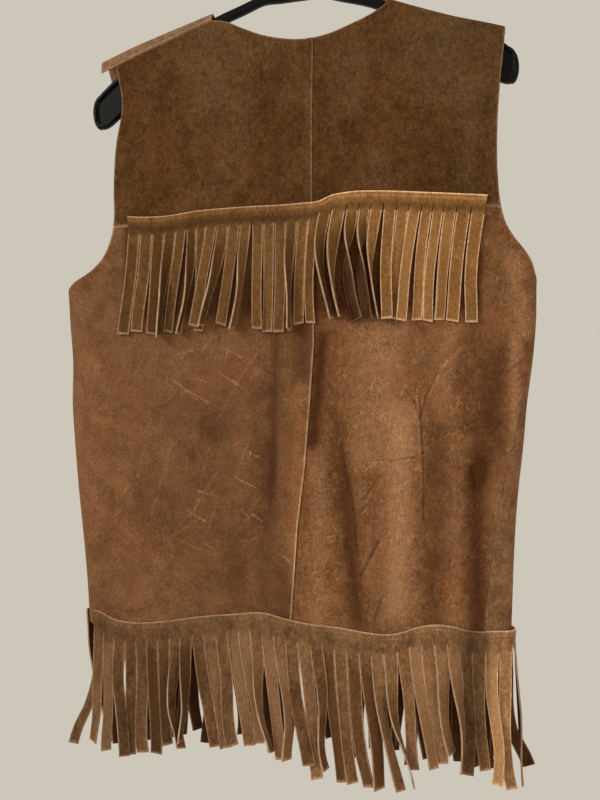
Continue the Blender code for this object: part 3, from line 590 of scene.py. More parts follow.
WAXED_SHADING_MARKS = columns(
    "x_top   z_top   x_low   z_low   width  level",
    (0.0104, -0.3932, 0.0174, -0.6167, 0.0050, -0.32),
    (0.0184, -0.5195, 0.0234, -0.7727, 0.0080, -0.16),
    (-0.0114, -0.4710, -0.0074, -0.6935, 0.0080, 0.52),
    (0.0015, -0.6551, 0.0035, -0.7522, 0.0080, -0.20),
    (0.2086, -0.4291, 0.1935, -0.6616, 0.0260, 0.14),
    (-0.0143, -0.4131, -0.0153, -0.4903, 0.0110, -0.30),
    (0.0863, -0.4803, 0.0966, -0.6583, 0.0340, -0.08),
    (0.1277, -0.6195, 0.1382, -0.7396, 0.0300, 0.10),
    (0.0475, -0.6175, 0.0495, -0.7351, 0.0120, -0.10),
    (0.0354, -0.4316, 0.0455, -0.5685, 0.0100, 0.16),
    (0.1700, -0.5503, 0.1807, -0.7216, 0.0120, 0.10),
)
VELVET_SHADING_MARKS = columns(
    "x_top   z_top   x_low   z_low   width  level",
    (-0.0349, -0.4231, -0.0242, -0.5578, 0.0080, -0.52),
    (-0.0495, -0.5000, -0.0707, -0.7385, 0.0090, -0.44),
    (-0.2084, -0.4353, -0.1812, -0.5931, 0.0120, -0.34),
    (-0.1794, -0.5372, -0.1848, -0.8162, 0.0110, -0.46),
    (-0.1684, -0.4067, -0.1794, -0.5372, 0.0180, -0.14),
    (-0.1425, -0.4812, -0.1406, -0.7630, 0.0120, -0.24),
    (-0.1125, -0.4905, -0.1069, -0.7271, 0.0140, 0.85),
    (-0.0974, -0.4146, -0.0784, -0.5762, 0.0250, 0.46),
    (-0.2156, -0.4261, -0.2201, -0.5922, 0.0065, 0.70),
    (-0.0320, -0.5385, -0.0300, -0.7503, 0.0090, 0.34),
    (-0.1619, -0.4065, -0.1444, -0.5282, 0.0120, 0.40),
    (-0.2138, -0.3522, -0.2282, -0.4494, 0.0100, 0.55),
    (-0.1638, -0.5280, -0.1629, -0.7430, 0.0080, 0.24),
    (-0.2030, -0.5648, -0.2012, -0.7779, 0.0090, 0.28),
    (-0.0649, -0.5287, -0.0841, -0.6903, 0.0080, 0.16),
)
# Fine creases of the velvety panel: painted shade in the fold, painted light beside it
VELVET_CREASE_SHADING = columns(
    "x0      z0      x1      z1      width   level",
    (-0.1279, -0.4953, -0.1313, -0.5502, 0.0013, -0.48),
    (-0.1313, -0.5502, -0.1319, -0.6161, 0.0012, -0.42),
    (-0.1138, -0.4890, -0.1238, -0.5016, 0.0013, -0.32),
    (-0.1238, -0.5016, -0.1282, -0.5188, 0.0012, -0.42),
    (-0.1450, -0.4750, -0.1341, -0.4975, 0.0014, -0.32),
    (-0.1341, -0.4975, -0.1301, -0.5157, 0.0013, -0.32),
    (-0.1468, -0.4769, -0.1363, -0.4975, 0.0013, 0.42),
    (-0.1696, -0.4487, -0.1496, -0.4688, 0.0017, 0.26),
    (-0.0822, -0.5577, -0.1012, -0.5584, 0.0013, -0.35),
    (-0.1012, -0.5584, -0.1238, -0.5544, 0.0013, -0.48),
    (-0.0835, -0.5599, -0.1238, -0.5566, 0.0012, 0.29),
    (-0.0901, -0.5722, -0.0752, -0.5959, 0.0014, -0.35),
    (-0.0892, -0.5760, -0.0765, -0.5985, 0.0014, 0.32),
    (-0.0892, -0.6362, -0.0726, -0.6685, 0.0017, -0.48),
    (-0.0917, -0.6374, -0.0745, -0.6703, 0.0016, 0.29),
    (-0.0534, -0.5415, -0.0559, -0.5638, 0.0013, -0.32),
    (-0.0559, -0.5638, -0.0649, -0.6051, 0.0014, -0.32),
    (-0.0649, -0.6051, -0.0681, -0.6432, 0.0016, -0.35),
    (-0.0917, -0.6899, -0.0854, -0.7124, 0.0014, -0.35),
    (-0.1757, -0.5621, -0.1806, -0.5838, 0.0014, -0.42),
    (-0.1696, -0.6555, -0.1818, -0.6334, 0.0014, -0.32),
    (-0.1107, -0.4953, -0.1154, -0.4858, 0.0011, 0.38),
    (-0.1012, -0.5095, -0.0870, -0.5190, 0.0011, 0.22),
    (-0.2060, -0.5185, -0.1970, -0.5309, 0.0019, -0.32),
    (-0.2240, -0.4631, -0.2105, -0.4723, 0.0018, -0.35),
    (-0.2285, -0.4754, -0.2150, -0.4831, 0.0014, -0.26),
    (-0.1848, -0.4938, -0.1836, -0.5093, 0.0012, 0.32),
    (-0.1298, -0.5628, -0.1304, -0.5910, 0.0016, 0.32),
    (-0.1260, -0.4975, -0.1288, -0.5471, 0.0016, 0.29),
    (-0.1012, -0.6042, -0.1138, -0.6165, 0.0012, 0.19),
    (-0.1419, -0.5407, -0.1326, -0.5470, 0.0012, 0.22),
)

# Dark spots of the waxed panel: place, half width, half height and depth
SPOTS = (
    (0.0966, -0.5567, 0.0045, 0.0075, 0.36),
    (0.0777, -0.5312, 0.0150, 0.0120, 0.20),
    (0.0421, -0.4902, 0.0160, 0.0110, 0.12),
)

# Scratches in the waxed panel
SCRATCHES = columns(
    "x0      z0      x1      z1      width   level",
    (0.0522, -0.5768, 0.0321, -0.5862, 0.0009, 0.60),
    (0.1017, -0.6106, 0.0811, -0.6216, 0.0009, 0.50),
    (0.0354, -0.6123, 0.0264, -0.6192, 0.0010, 0.60),
    (0.0455, -0.6093, 0.0388, -0.6156, 0.0008, 0.35),
    (0.0428, -0.6190, 0.0347, -0.6139, 0.0008, 0.30),
    (0.1173, -0.4801, 0.1000, -0.4917, 0.0009, 0.40),
    (0.1000, -0.4917, 0.0804, -0.5023, 0.0009, 0.46),
    (0.1104, -0.4874, 0.0924, -0.4993, 0.0008, 0.30),
    (0.1121, -0.4543, 0.0845, -0.4467, 0.0010, 0.30),
    (0.1097, -0.4603, 0.1028, -0.4511, 0.0009, 0.30),
    (0.0624, -0.4492, 0.0465, -0.4582, 0.0010, 0.46),
    (0.0948, -0.4786, 0.0804, -0.4822, 0.0008, 0.36),
    (0.0897, -0.5906, 0.0794, -0.5927, 0.0008, 0.42),
    (0.0260, -0.4487, 0.0495, -0.4804, 0.0012, 0.22),
    (0.0522, -0.4837, 0.0692, -0.5171, 0.0013, 0.18),
    (0.0699, -0.5705, 0.0993, -0.6155, 0.0011, 0.26),
    (0.0381, -0.5391, 0.0522, -0.5758, 0.0012, 0.18),
    (0.1173, -0.5414, 0.1410, -0.6165, 0.0015, 0.14),
    (0.0794, -0.5467, 0.0948, -0.6154, 0.0012, 0.18),
    (0.0388, -0.5515, 0.0280, -0.5572, 0.0009, 0.36),
    (0.1277, -0.6428, 0.0863, -0.6159, 0.0013, 0.14),
    (0.1069, -0.6422, 0.0685, -0.6548, 0.0010, 0.20),
    (0.0590, -0.4804, 0.0499, -0.4850, 0.0009, 0.42),
    (0.0692, -0.4731, 0.0516, -0.4837, 0.0008, 0.26),
    (0.1700, -0.6307, 0.1576, -0.6437, 0.0010, 0.20),
    (0.0863, -0.6415, 0.0777, -0.6462, 0.0008, 0.30),
    (0.0743, -0.6100, 0.0794, -0.6282, 0.0010, 0.22),
    (0.0388, -0.6091, 0.0254, -0.5942, 0.0010, 0.18),
    (0.0863, -0.4506, 0.0777, -0.4382, 0.0009, 0.26),
    (0.1452, -0.5400, 0.1576, -0.5869, 0.0013, 0.12),
)

# Camera, floor and lamps
VIEW_TARGET = (-0.0085, 0.0, -0.50)
VIEW_AZIMUTH = 191.0
VIEW_DISTANCE = 0.9
SENSOR_HEIGHT = 36.0
VIEW_FOCAL = 900 / 800
FLOOR_HEIGHT = -1.50
FLOOR_HALF = 0.90
LIGHTS = (
    ("high_light", (1.60, 1.25, 0.50), 0.8, 30.0, (1.0, 0.96, 0.90)),
    ("low_light", (-1.20, 1.60, -0.90), 1.4, 6.0, (1.0, 0.93, 0.84)),
    ("front_light", (0.90, -1.70, 0.50), 1.0, 24.0, (1.0, 0.97, 0.93)),
)

# Unit section: distance round a quarter of the body against the angle that draws it
QUARTER_TURN = np.linspace(0.0, pi / 2, SECTION_STEPS)
UNIT_X = np.sin(QUARTER_TURN) ** (2 / SECTION_POWER)
UNIT_Y = np.cos(QUARTER_TURN) ** (2 / SECTION_POWER)
UNIT_RUN = np.hypot(np.diff(SECTION_HALF_WIDTH * UNIT_X), np.diff(SECTION_HALF_DEPTH * UNIT_Y))
QUARTER_GIRTH = np.append(0.0, np.cumsum(UNIT_RUN)) / np.sum(UNIT_RUN)


def fold_height(table, x, z):
    """Sum of the folds at a place on the back or on the fronts."""
    total = 0.0 * x
    for x_top, z_top, x_low, z_low, width, height in rows_of(table):
        along = np.clip((z_top - z) / (z_top - z_low), 0.0, 1.0)
        across = (x - x_top - (x_low - x_top) * along) / width
        total = total + height * np.exp(-across * across) * np.sin(pi * along) ** 2
    return total


def crease_height(table, x, z):
    """Sum of the short creases at a place; each fades out at both of its ends."""
    total = 0.0 * x
    for x0, z0, x1, z1, width, height in rows_of(table):
        dx = x1 - x0
        dz = z1 - z0
        along = ((x - x0) * dx + (z - z0) * dz) / (dx * dx + dz * dz)
        on_line = np.clip(along, 0.0, 1.0)
        off = np.hypot(x - x0 - on_line * dx, z - z0 - on_line * dz) / width
        inside = np.clip(on_line, CREASE_END, 1 - CREASE_END)
        total = total + height * np.exp(-off * off) * np.sin(pi * inside) ** CREASE_POWER
    return total


def half_width(g, z):
    """Half width of the body on the side that a girth station lies on."""
    return np.where(g >= 0, smooth(BODY, "left", z), smooth(BODY, "right", z))


def form(g, z):
    """Point of the cloth form at a girth station and a height measured up the cloth."""
    g, z = np.broadcast_arrays(np.asarray(g, float), np.asarray(z, float))
    station = np.abs(g)
    is_back = station <= 1
    quarter = np.interp(np.where(is_back, station, 2 - station), QUARTER_GIRTH, QUARTER_TURN)
    side = np.where(is_back, 1.0, -1.0)
    x = np.where(g >= 0, 1.0, -1.0) * half_width(g, z) * np.sin(quarter) ** (2 / SECTION_POWER)
    round_side = np.abs(np.cos(quarter)) ** (2 / SECTION_POWER)
    depth = np.where(is_back, smooth(BODY, "back", z), smooth(BODY, "front", z)) * round_side
    back_relief = fold_height(BACK_FOLDS, x, z) + crease_height(BACK_CREASES, x, z)
    front_relief = fold_height(FRONT_FOLDS, x, z) + crease_height(FRONT_CREASES, x, z)
    folds = np.where(is_back, back_relief, front_relief)
    depth = depth + folds * round_side
    crest = smooth(RIDGE, "z", x, key="x")
    run = crest - z + RIDGE_RADIUS * (pi / 2 - 1)
    bend = np.clip(np.abs(run) / RIDGE_RADIUS, 0.0, pi / 2)
    past = np.maximum(np.abs(run) - RIDGE_RADIUS * pi / 2, 0.0)
    opened = RIDGE_RADIUS * np.sin(bend) + (depth - RIDGE_RADIUS) * ease(past / OPENING_DROP)
    drop = RIDGE_RADIUS * (1 - np.cos(bend)) + past
    y = side * np.where(run >= 0, 1.0, -1.0) * opened
    return np.stack([x, y, crest - drop], axis=-1)


def normal(g, z):
    """Outward normal of the cloth form."""
    round_body = form(g + SMALL_GIRTH_STEP, z) - form(g - SMALL_GIRTH_STEP, z)
    up_body = form(g, z + SMALL_HEIGHT_STEP) - form(g, z - SMALL_HEIGHT_STEP)
    n = np.cross(up_body, round_body)
    return n / np.linalg.norm(n, axis=-1, keepdims=True)


def cloth(g, z, lift=0.0):
    """Point that stands off the cloth form by a given distance."""
    return form(g, z) + normal(g, z) * np.asarray(lift, dtype=float)[..., None]


def girth_at(x, z, front=False):
    """Girth station of a distance across, on the back or on the fronts."""
    share = np.clip(np.abs(x) / half_width(x, z), 0.0, 1.0)
    turn = np.arcsin(share ** (SECTION_POWER / 2))
    quarter = np.interp(turn, QUARTER_TURN, QUARTER_GIRTH)
    return np.where(x >= 0, 1.0, -1.0) * (2 - quarter if front else quarter)


def over_crest(x, over):
    """Height up the cloth of a line that passes the shoulder crest by a given distance."""
    return smooth(RIDGE, "z", x, key="x") + RIDGE_RADIUS * (pi / 2 - 1) + over


def rhythm(name, k):
    """A steady variation from strand to strand, between -1 and 1."""
    rate, first = RHYTHM[name]
    return sin(rate * k + first)


def shares_to_fold(count, crowding):
    """Column places from an edge to the side fold, closer together near the fold."""
    return 1 - (1 - np.linspace(0, 1, count + 1)) ** crowding


def yoke_seam(x):
    """Height of the seam between the yoke and the lower back."""
    return YOKE_SEAM_HEIGHT + YOKE_SEAM_SLOPE * x


def yoke_strip_top(x):
    """Top edge of the strip over the yoke seam."""
    return smooth(YOKE_STRIP_TOP, "z", x, key="x")


def hem_strip_top(x):
    """Top edge of the strip on the back hem."""
    return smooth(HEM_STRIP_TOP, "z", x, key="x")


def front_strip_top(x):
    """Top edge of the strips on the fronts' hems, which is level."""
    return FRONT_HEM_STRIP_TOP + 0.0 * x


def hem_of_back(x):
    """The lower back ends under its fringe strip."""
    return hem_strip_top(x) - HEM_BAND


def hem_of_front(x):
    """A front ends under its fringe strip."""
    return front_strip_top(x) - HEM_BAND


def seam_girth(z, sign):
    """Girth station of the centre back seam's edge on one side."""
    return girth_at(straight(CENTRE_SEAM, "x", z) + sign * SEAM_GAP / 2, z)


def side_girth(z, hand, sign, armhole, front):
    """Girth station of a panel's outer edge: its armhole, and below it the side seam."""
    low = armhole["z"][-1]
    share = np.where(z > low, girth_at(sign * smooth(armhole, hand, z), z, front), 0.0)
    gap = SEAM_GAP / 2 / HALF_GIRTH
    seam = sign * (straight(SIDE_SEAM, hand, z) + (gap if front else -gap))
    return np.where(z > low, share, seam)


def shoulder_end(x, hand, front):
    """Height up the cloth at which a front or a yoke half ends at the shoulder."""
    if hand == "left":
        past_back = -straight(LEFT_SHOULDER_SEAM, "over", x, key="x")
    else:
        past_back = RIGHT_SHOULDER_OVER + 0.0 * x
    over = -past_back if front else past_back
    return over_crest(x, over - SEAM_GAP / 2)


def yoke_end(x, hand):
    """Upper edge of a yoke half: the neckline, then the shoulder seam."""
    neck_x = NECK_POINT[hand]
    at_neck = smooth(NECKLINE, "z", x, key="x")
    at_shoulder = shoulder_end(x, hand, False)
    if hand == "right":
        climbed = np.clip((neck_x - x) / RIGHT_NECK_CLIMB, 0.0, 1.0)
        at_shoulder = at_neck + (at_shoulder - at_neck) * climbed
    return np.where(np.abs(x) <= abs(neck_x), at_neck, at_shoulder)


# ---------------------------------------------------------------- finishes

EULER = 2.71828
ONE_AT_MIDDLE = 4.0
NOISE_SHIFT = (1.0, 0.7, -1.3)
WEB_BEND_SCALE = 0.45
WEB_BEND_DETAIL = 3.0
# Ranges over which a noise turns from one tone to the other
TONE_RANGE = (0.38, 0.62)
WARM_RANGE = (0.48, 0.62)
MARK_ENDS = (0.0, 0.5)

# Painted shadow of the yoke fringe on the hide it covers: its borders, each from none to full
FRINGE_SHADOW_TOP = 0.3060
FRINGE_SHADOW_SLOPE = 0.02
FRINGE_SHADOW_TOP_SOFT = (0.006, -0.004)
FRINGE_SHADOW_FOOT = 0.4180
FRINGE_SHADOW_FOOT_SOFT = (-0.008, 0.010)
FRINGE_SHADOW_LEFT = (0.176, 0.168)
FRINGE_SHADOW_RIGHT = (-0.190, -0.182)
FRINGE_SHADOW_ON_BACK = (0.0, 0.004)
FRINGE_SHADOW_DEPTH = 0.84

# Brushed suede
BRUSHED_SHEEN = dict(sheen_weight=0.06, sheen_roughness=0.45, sheen_tint=(0.85, 0.62, 0.40, 1.0),
                     specular_ior_level=0.06)
BRUSHED_NOISE = {
    "cloud": dict(scale=15.0, detail=4.0, rough=0.6),
    "patch": dict(scale=62.0, detail=5.0, rough=0.72, stretch=(1.0, 1.0, 0.85), twist=0.3, shift=3.0),
    "nap": dict(scale=240.0, detail=4.0, rough=0.75, stretch=(1.0, 1.0, 0.75), twist=0.6, shift=7.0),
    "fibre": dict(scale=820.0, detail=2.0, rough=0.7, stretch=(1.0, 1.0, 0.8), shift=11.0),
    "vein_place": dict(scale=44.0, detail=2.0, shift=5.0),
    "warm": dict(scale=24.0, detail=4.0, rough=0.65, twist=0.4, shift=17.0),
}
BRUSHED_WEB = dict(scale=120.0, width=0.13, bend=0.016, shift=2.0)
BRUSHED_WEB_PLACES = (0.44, 0.62)
BRUSHED_TONE = (0.25, 0.45, 0.30)
REDDER = (1.02, 0.80, 0.78)
NAP_CONTRAST = 4.5
FIBRE_CONTRAST = 6.0
BRUSHED_SWAY = 0.012
MARK_BASE = 0.55
MARK_NAP = 0.5
BRUSHED_SHADE_GAIN = -2.0
LINE_BASE = 0.5
BRUSHED_RUB = (0.0003, 0.0022)
BRUSHED_RUB_BASE = 0.4
BRUSHED_ROUGHNESS = 0.93
BRUSHED_GLOSS = 0.10
BRUSHED_RELIEF = (0.7, 0.5, 0.8)
BRUSHED_DEPTH = 0.0013

# Waxed suede
WAXED_SHEEN = dict(sheen_weight=0.03, sheen_roughness=0.45, sheen_tint=(0.8, 0.6, 0.42, 1.0),
                   specular_ior_level=0.14)
WAXED_NOISE = {
    "cloud": dict(scale=11.0, detail=4.0, rough=0.6, twist=0.6, shift=2.0),
    "patch": dict(scale=48.0, detail=5.0, rough=0.70, twist=0.5, shift=5.0),
    "grain": dict(scale=420.0, detail=3.0, rough=0.6, shift=9.0),
    "fibre": dict(scale=900.0, detail=2.0, rough=0.7, shift=15.0),
    "web_place": dict(scale=34.0, detail=2.0, shift=3.0),
    "small_web_place": dict(scale=60.0, detail=2.0, shift=8.0),
    "warm": dict(scale=26.0, detail=4.0, rough=0.65, twist=0.4, shift=21.0),
}
WAXED_WEB = dict(scale=95.0, width=0.055, bend=0.016, shift=1.0)
WAXED_WEB_PLACES = (0.42, 0.60)
WAXED_SMALL_WEB = dict(scale=230.0, width=0.08, bend=0.006, shift=6.0)
WAXED_SMALL_WEB_PLACES = (0.44, 0.60)
WEB_LIGHT = 0.26
SMALL_WEB_LIGHT = 0.14
WAXED_TONE = (0.3, 0.5, 0.2)
WAXED_WARMTH = 0.45
WAXED_CONTRAST = 0.80
WAXED_SWAY = 0.016
WAXED_SHADE_GAIN = -2.2
SPOT_RAGGED = 0.006
# Scuffs: three sets of fine drawn-out lines, each with its lean, its place in the noise, and the
# level that a line starts from
SCUFFS = columns(
    "lean  shift cut",
    (0.90, 1.0, 0.66),
    (-0.80, 4.0, 0.68),
    (0.15, 8.0, 0.69),
)
SCUFF_DRAW = (1.0, 0.2, 0.09)
SCUFF_NOISE = {"Scale": 300.0, "Detail": 1.5, "Roughness": 0.5, "Distortion": 0.15}
SCUFF_SOFT = 0.09
SCUFF_PLACE = dict(scale=38.0, detail=2.0)
SCUFF_PLACE_SHIFT = 12.0
SCUFF_PLACES = (0.48, 0.60)
SCUFF_LIGHT = 0.26
SCUFF_PALE = 0.16
SCUFF_GLOSS = 0.08
SCUFF_RELIEF = 0.3
SCRATCH_BREAKS = (0.34, 0.54)
SCRATCH_LIGHT = 1.9
WAXED_RUB = (0.0003, 0.0024)
WAXED_RUB_BASE = 0.1
WAXED_ROUGHNESS = 0.70
WAXED_DULL = 0.16
WAXED_RELIEF = (0.5, 0.3, 0.8)
WAXED_DEPTH = 0.0010

# Fringe suede
FRINGE_SHEEN = dict(sheen_weight=0.07, sheen_roughness=0.45, sheen_tint=(0.88, 0.68, 0.44, 1.0),
                    specular_ior_level=0.06)
FRINGE_NOISE = {
    "patch": dict(scale=60.0, detail=4.0, rough=0.6, stretch=(1.0, 1.0, 0.55), twist=1.0),
    "nap": dict(scale=380.0, detail=3.0, rough=0.65, stretch=(1.0, 1.0, 0.6), twist=0.6, shift=4.0),
    "fibre": dict(scale=820.0, detail=2.0, rough=0.7, shift=9.0),
}
FRINGE_TONE = (0.6, 0.4, 0.34)
FRINGE_TONE_RANGE = (0.24, 0.76)
FRINGE_CONTRAST = 0.9
# Painted shade on the strands under the strip, painted light along the strip's top, and painted shade and
# light at a turned fold
BAND_SHADE_AT = 0.012
BAND_SHADE_WIDTH = 0.040
BAND_SHADE_BASE = 0.6
BAND_SHADE_PATCH = 0.8
STRIP_TOP_LIGHT_RANGE = (-0.045, -0.065)
FOLD_SHADE = 0.55
BEYOND_FOLD = 1.5
BEYOND_FOLD_LIGHT = 0.45
BACK_FACE = (-0.01, 0.0)
FRINGE_RUB = (0.0003, 0.0015)
TIP_RUB = (0.972, 0.996)
FRINGE_RUB_BASE = 0.5
FRINGE_ROUGHNESS = 0.94
FRINGE_GLOSS = 0.1
FRINGE_RELIEF = (1.0, 0.4, 0.3)
FRINGE_DEPTH = 0.0010

# Cut edge
EDGE_SHEEN = dict(sheen_weight=0.15, sheen_roughness=0.5, specular_ior_level=0.1)
EDGE_NOISE = {
    "fibre": dict(scale=700.0, detail=2.0, rough=0.6),
    "patch": dict(scale=70.0, detail=3.0, rough=0.6, shift=2.0),
}
EDGE_TONE = (0.4, 0.6)
EDGE_TONE_RANGE = (0.36, 0.64)
EDGE_ROUGHNESS = 0.95
EDGE_DEPTH = 0.0004

# Thread
THREAD_SHEEN = dict(sheen_weight=0.1, specular_ior_level=0.3)
THREAD_NOISE = dict(scale=1400.0, detail=1.0, rough=0.5, stretch=(1.0, 1.0, 0.4))
THREAD_TONE_RANGE = (0.4, 0.6)
THREAD_ROUGHNESS = 0.7
THREAD_DEPTH = 0.0002

# Hanger plastic
PLASTIC_NOISE = {
    "pebble": dict(scale=1100.0, detail=2.0, rough=0.5),
    "handled": dict(scale=16.0, detail=3.0, rough=0.6, shift=1.0),
    "dust": dict(scale=260.0, detail=3.0, rough=0.7, shift=6.0),
}
PLASTIC_DARK = (0.0020, 0.0020, 0.0026)
PLASTIC_DUSTY = (0.0065, 0.0062, 0.0060)
DUST_RANGE = (0.60, 0.78)
PLASTIC_SHINE = 0.14
PLASTIC_ROUGHNESS = 0.26
PLASTIC_DULL = 0.20
PLASTIC_RELIEF = (0.5, 0.5)
PLASTIC_DEPTH = 0.00015

# Floor
FLOOR_DARK = (0.60, 0.57, 0.52)
FLOOR_LIGHT = (0.66, 0.63, 0.58)
FLOOR_NOISE = dict(scale=40.0, detail=3.0)
FLOOR_TONE_RANGE = (0.3, 0.7)
FLOOR_ROUGHNESS = 0.8
FLOOR_DEPTH = 0.0005


class Value:
    """A shader socket with arithmetic: an expression on values adds its Math nodes."""

    def __init__(self, finish, socket):
        self.finish = finish
        self.socket = socket

    def math(self, operation, *values):
        return self.finish.node("ShaderNodeMath", {"operation": operation}, dict(enumerate(values)))

    def __add__(self, other):
        return self.math("ADD", self, other)

    def __radd__(self, other):
        return self.math("ADD", other, self)

    def __sub__(self, other):
        return self.math("SUBTRACT", self, other)

    def __rsub__(self, other):
        return self.math("SUBTRACT", other, self)

    def __mul__(self, other):
        return self.math("MULTIPLY", self, other)

    def __rmul__(self, other):
        return self.math("MULTIPLY", other, self)

    def __truediv__(self, other):
        return self.math("DIVIDE", self, other)

    def at_least(self, other):
        return self.math("MAXIMUM", self, other)

    def clamp(self):
        return self.math("MINIMUM", self.at_least(0.0), 1.0)

    def fade(self):
        """1 at zero and nearly 0 a few below it: e to the power of this value."""
        return self.math("POWER", EULER, self)

    def hump(self):
        """1 at zero, falling softly to 0 on both sides, as a Gaussian does."""
        return (self * self * -1.0).fade()

    def soft(self, low, high):
        """Smooth step from 0 at one value to 1 at another."""
        return self.finish.node("ShaderNodeMapRange", {"interpolation_type": "SMOOTHSTEP"},
                                {0: self, 1: low, 2: high, 3: 0.0, 4: 1.0})


class Finish:
    """A material whose nodes are added by plain calls."""

    def __init__(self, name, **constants):
        self.material = bpy.data.materials.new(name)
        self.material.use_nodes = True
        self.tree = self.material.node_tree
        self.shader = self.tree.nodes["Principled BSDF"]
        for socket, value in constants.items():
            self.shader.inputs[socket.replace("_", " ").title().replace("Ior", "IOR")].default_value = value
        self.place = self.node("ShaderNodeTexCoord", {}, {}, "Object")
        parts = self.node("ShaderNodeSeparateXYZ", {}, {0: self.place}, None)
        self.x, self.y, self.z = (Value(self, parts.outputs[k]) for k in range(3))

    def node(self, kind, settings, values, output=0):
        """Add a node: its settings first, then the values or links of its sockets."""
        made = self.tree.nodes.new(kind)
        for key, value in settings.items():
            setattr(made, key, value)
        for key, value in values.items():
            if isinstance(value, Value):
                self.tree.links.new(value.socket, made.inputs[key])
            else:
                made.inputs[key].default_value = value
        return made if output is None else Value(self, made.outputs[output])

    def noise(self, scale, detail=3.0, rough=0.55, stretch=(1.0, 1.0, 1.0), twist=0.0, shift=0.0):
        """Soft cloud pattern in object space; stretch under 1 draws it out along that axis."""
        offset = tuple(shift * k for k in NOISE_SHIFT)
        at = self.node("ShaderNodeVectorMath", {"operation": "MULTIPLY_ADD"},
                       {0: self.place, 1: stretch, 2: offset})
        return self.node("ShaderNodeTexNoise", {}, {"Vector": at, "Scale": scale, "Detail": detail,
                                                    "Roughness": rough, "Distortion": twist})

    def noises(self, table):
        """One noise for each row of a table, in its order."""
        return [self.noise(**row) for row in table.values()]

    def web(self, scale, width, bend, shift=0.0):
        """Thin crossing lines, as creased or scuffed hide has; 1 on a line and 0 off it."""
        cloud = self.node("ShaderNodeTexNoise", {}, {"Vector": self.place, "Scale": scale * WEB_BEND_SCALE,
                                                     "Detail": WEB_BEND_DETAIL}, "Color")
        bent = self.node("ShaderNodeVectorMath", {"operation": "MULTIPLY_ADD"},
                         {0: cloud, 1: (bend, bend, bend), 2: self.place})
        moved = self.node("ShaderNodeVectorMath", {"operation": "ADD"}, {0: bent, 1: (shift, shift, shift)})
        cell = self.node("ShaderNodeTexVoronoi", {"feature": "DISTANCE_TO_EDGE"},
                         {"Vector": moved, "Scale": scale})
        return 1.0 - cell.soft(0.0, width)

    def mix(self, amount, first, second):
        """Blend two colours."""
        values = {0: amount, 6: first, 7: second}
        for k in (6, 7):
            if isinstance(values[k], tuple):
                values[k] = (*values[k], 1.0)
        return self.node("ShaderNodeMix", {"data_type": "RGBA"}, values, 2)

    def shade(self, colour, level):
        """Multiply a colour by a number."""
        return self.node("ShaderNodeVectorMath", {"operation": "SCALE"}, {0: colour, "Scale": level})

    def stored(self, name):
        """A number that the mesh keeps at each point."""
        return self.node("ShaderNodeAttribute", {"attribute_name": name}, {}, "Fac")

    def wear(self, colour, roughness, height, depth):
        """Send the worked-out colour, roughness and relief to the shader."""
        self.tree.links.new(colour.socket, self.shader.inputs["Base Color"])
        if isinstance(roughness, Value):
            self.tree.links.new(roughness.socket, self.shader.inputs["Roughness"])
        else:
            self.shader.inputs["Roughness"].default_value = roughness
        bump = self.node("ShaderNodeBump", {}, {"Strength": 1.0, "Distance": depth, "Height": height})
        self.tree.links.new(bump.socket, self.shader.inputs["Normal"])
        return self.material


def streaks(finish, table, sway):
    """Sum of soft drawn-out marks on the cloth, by the same kind of table as the folds: painted shade in
    troughs, and paler bands that are partly rubbed wear and partly painted light.
    """
    total = 0.0
    for x_top, z_top, x_low, z_low, width, level in rows_of(table):
        down = ((z_top - finish.z) / (z_top - z_low)).clamp()
        across = (finish.x + sway - x_top - down * (x_low - x_top)) / width
        ends = down * (1.0 - down) * ONE_AT_MIDDLE
        total = across.hump() * ends.soft(*MARK_ENDS) * level + total
    return total


def fringe_shadow(finish):
    """Painted shadow of the yoke fringe on the hide under it."""
    top = (finish.z + FRINGE_SHADOW_TOP + finish.x * FRINGE_SHADOW_SLOPE).soft(*FRINGE_SHADOW_TOP_SOFT)
    foot = (finish.z + FRINGE_SHADOW_FOOT).soft(*FRINGE_SHADOW_FOOT_SOFT)
    left = finish.x.soft(*FRINGE_SHADOW_LEFT)
    right = finish.x.soft(*FRINGE_SHADOW_RIGHT)
    on_back = finish.y.soft(*FRINGE_SHADOW_ON_BACK)
    return top * foot * left * right * on_back


def strokes(finish, table):
    """Fine lines from point to point: real scratches, and the velvet's painted crease shade and light."""
    total = 0.0
    for x0, z0, x1, z1, width, level in rows_of(table):
        dx = x1 - x0
        dz = z1 - z0
        square = dx * dx + dz * dz
        along = (((finish.x - x0) * dx + (finish.z - z0) * dz) / square).clamp()
        off_x = finish.x - x0 - along * dx
        off_z = finish.z - z0 - along * dz
        near = (off_x * off_x + off_z * off_z) * (-1.0 / (width * width))
        total = near.fade() * level + total
    return total


def blend(shares, *values):
    """Sum of shader values, each by its share."""
    total = 0.0
    for share, value in zip(shares, values):
        total = value * share + total
    return total


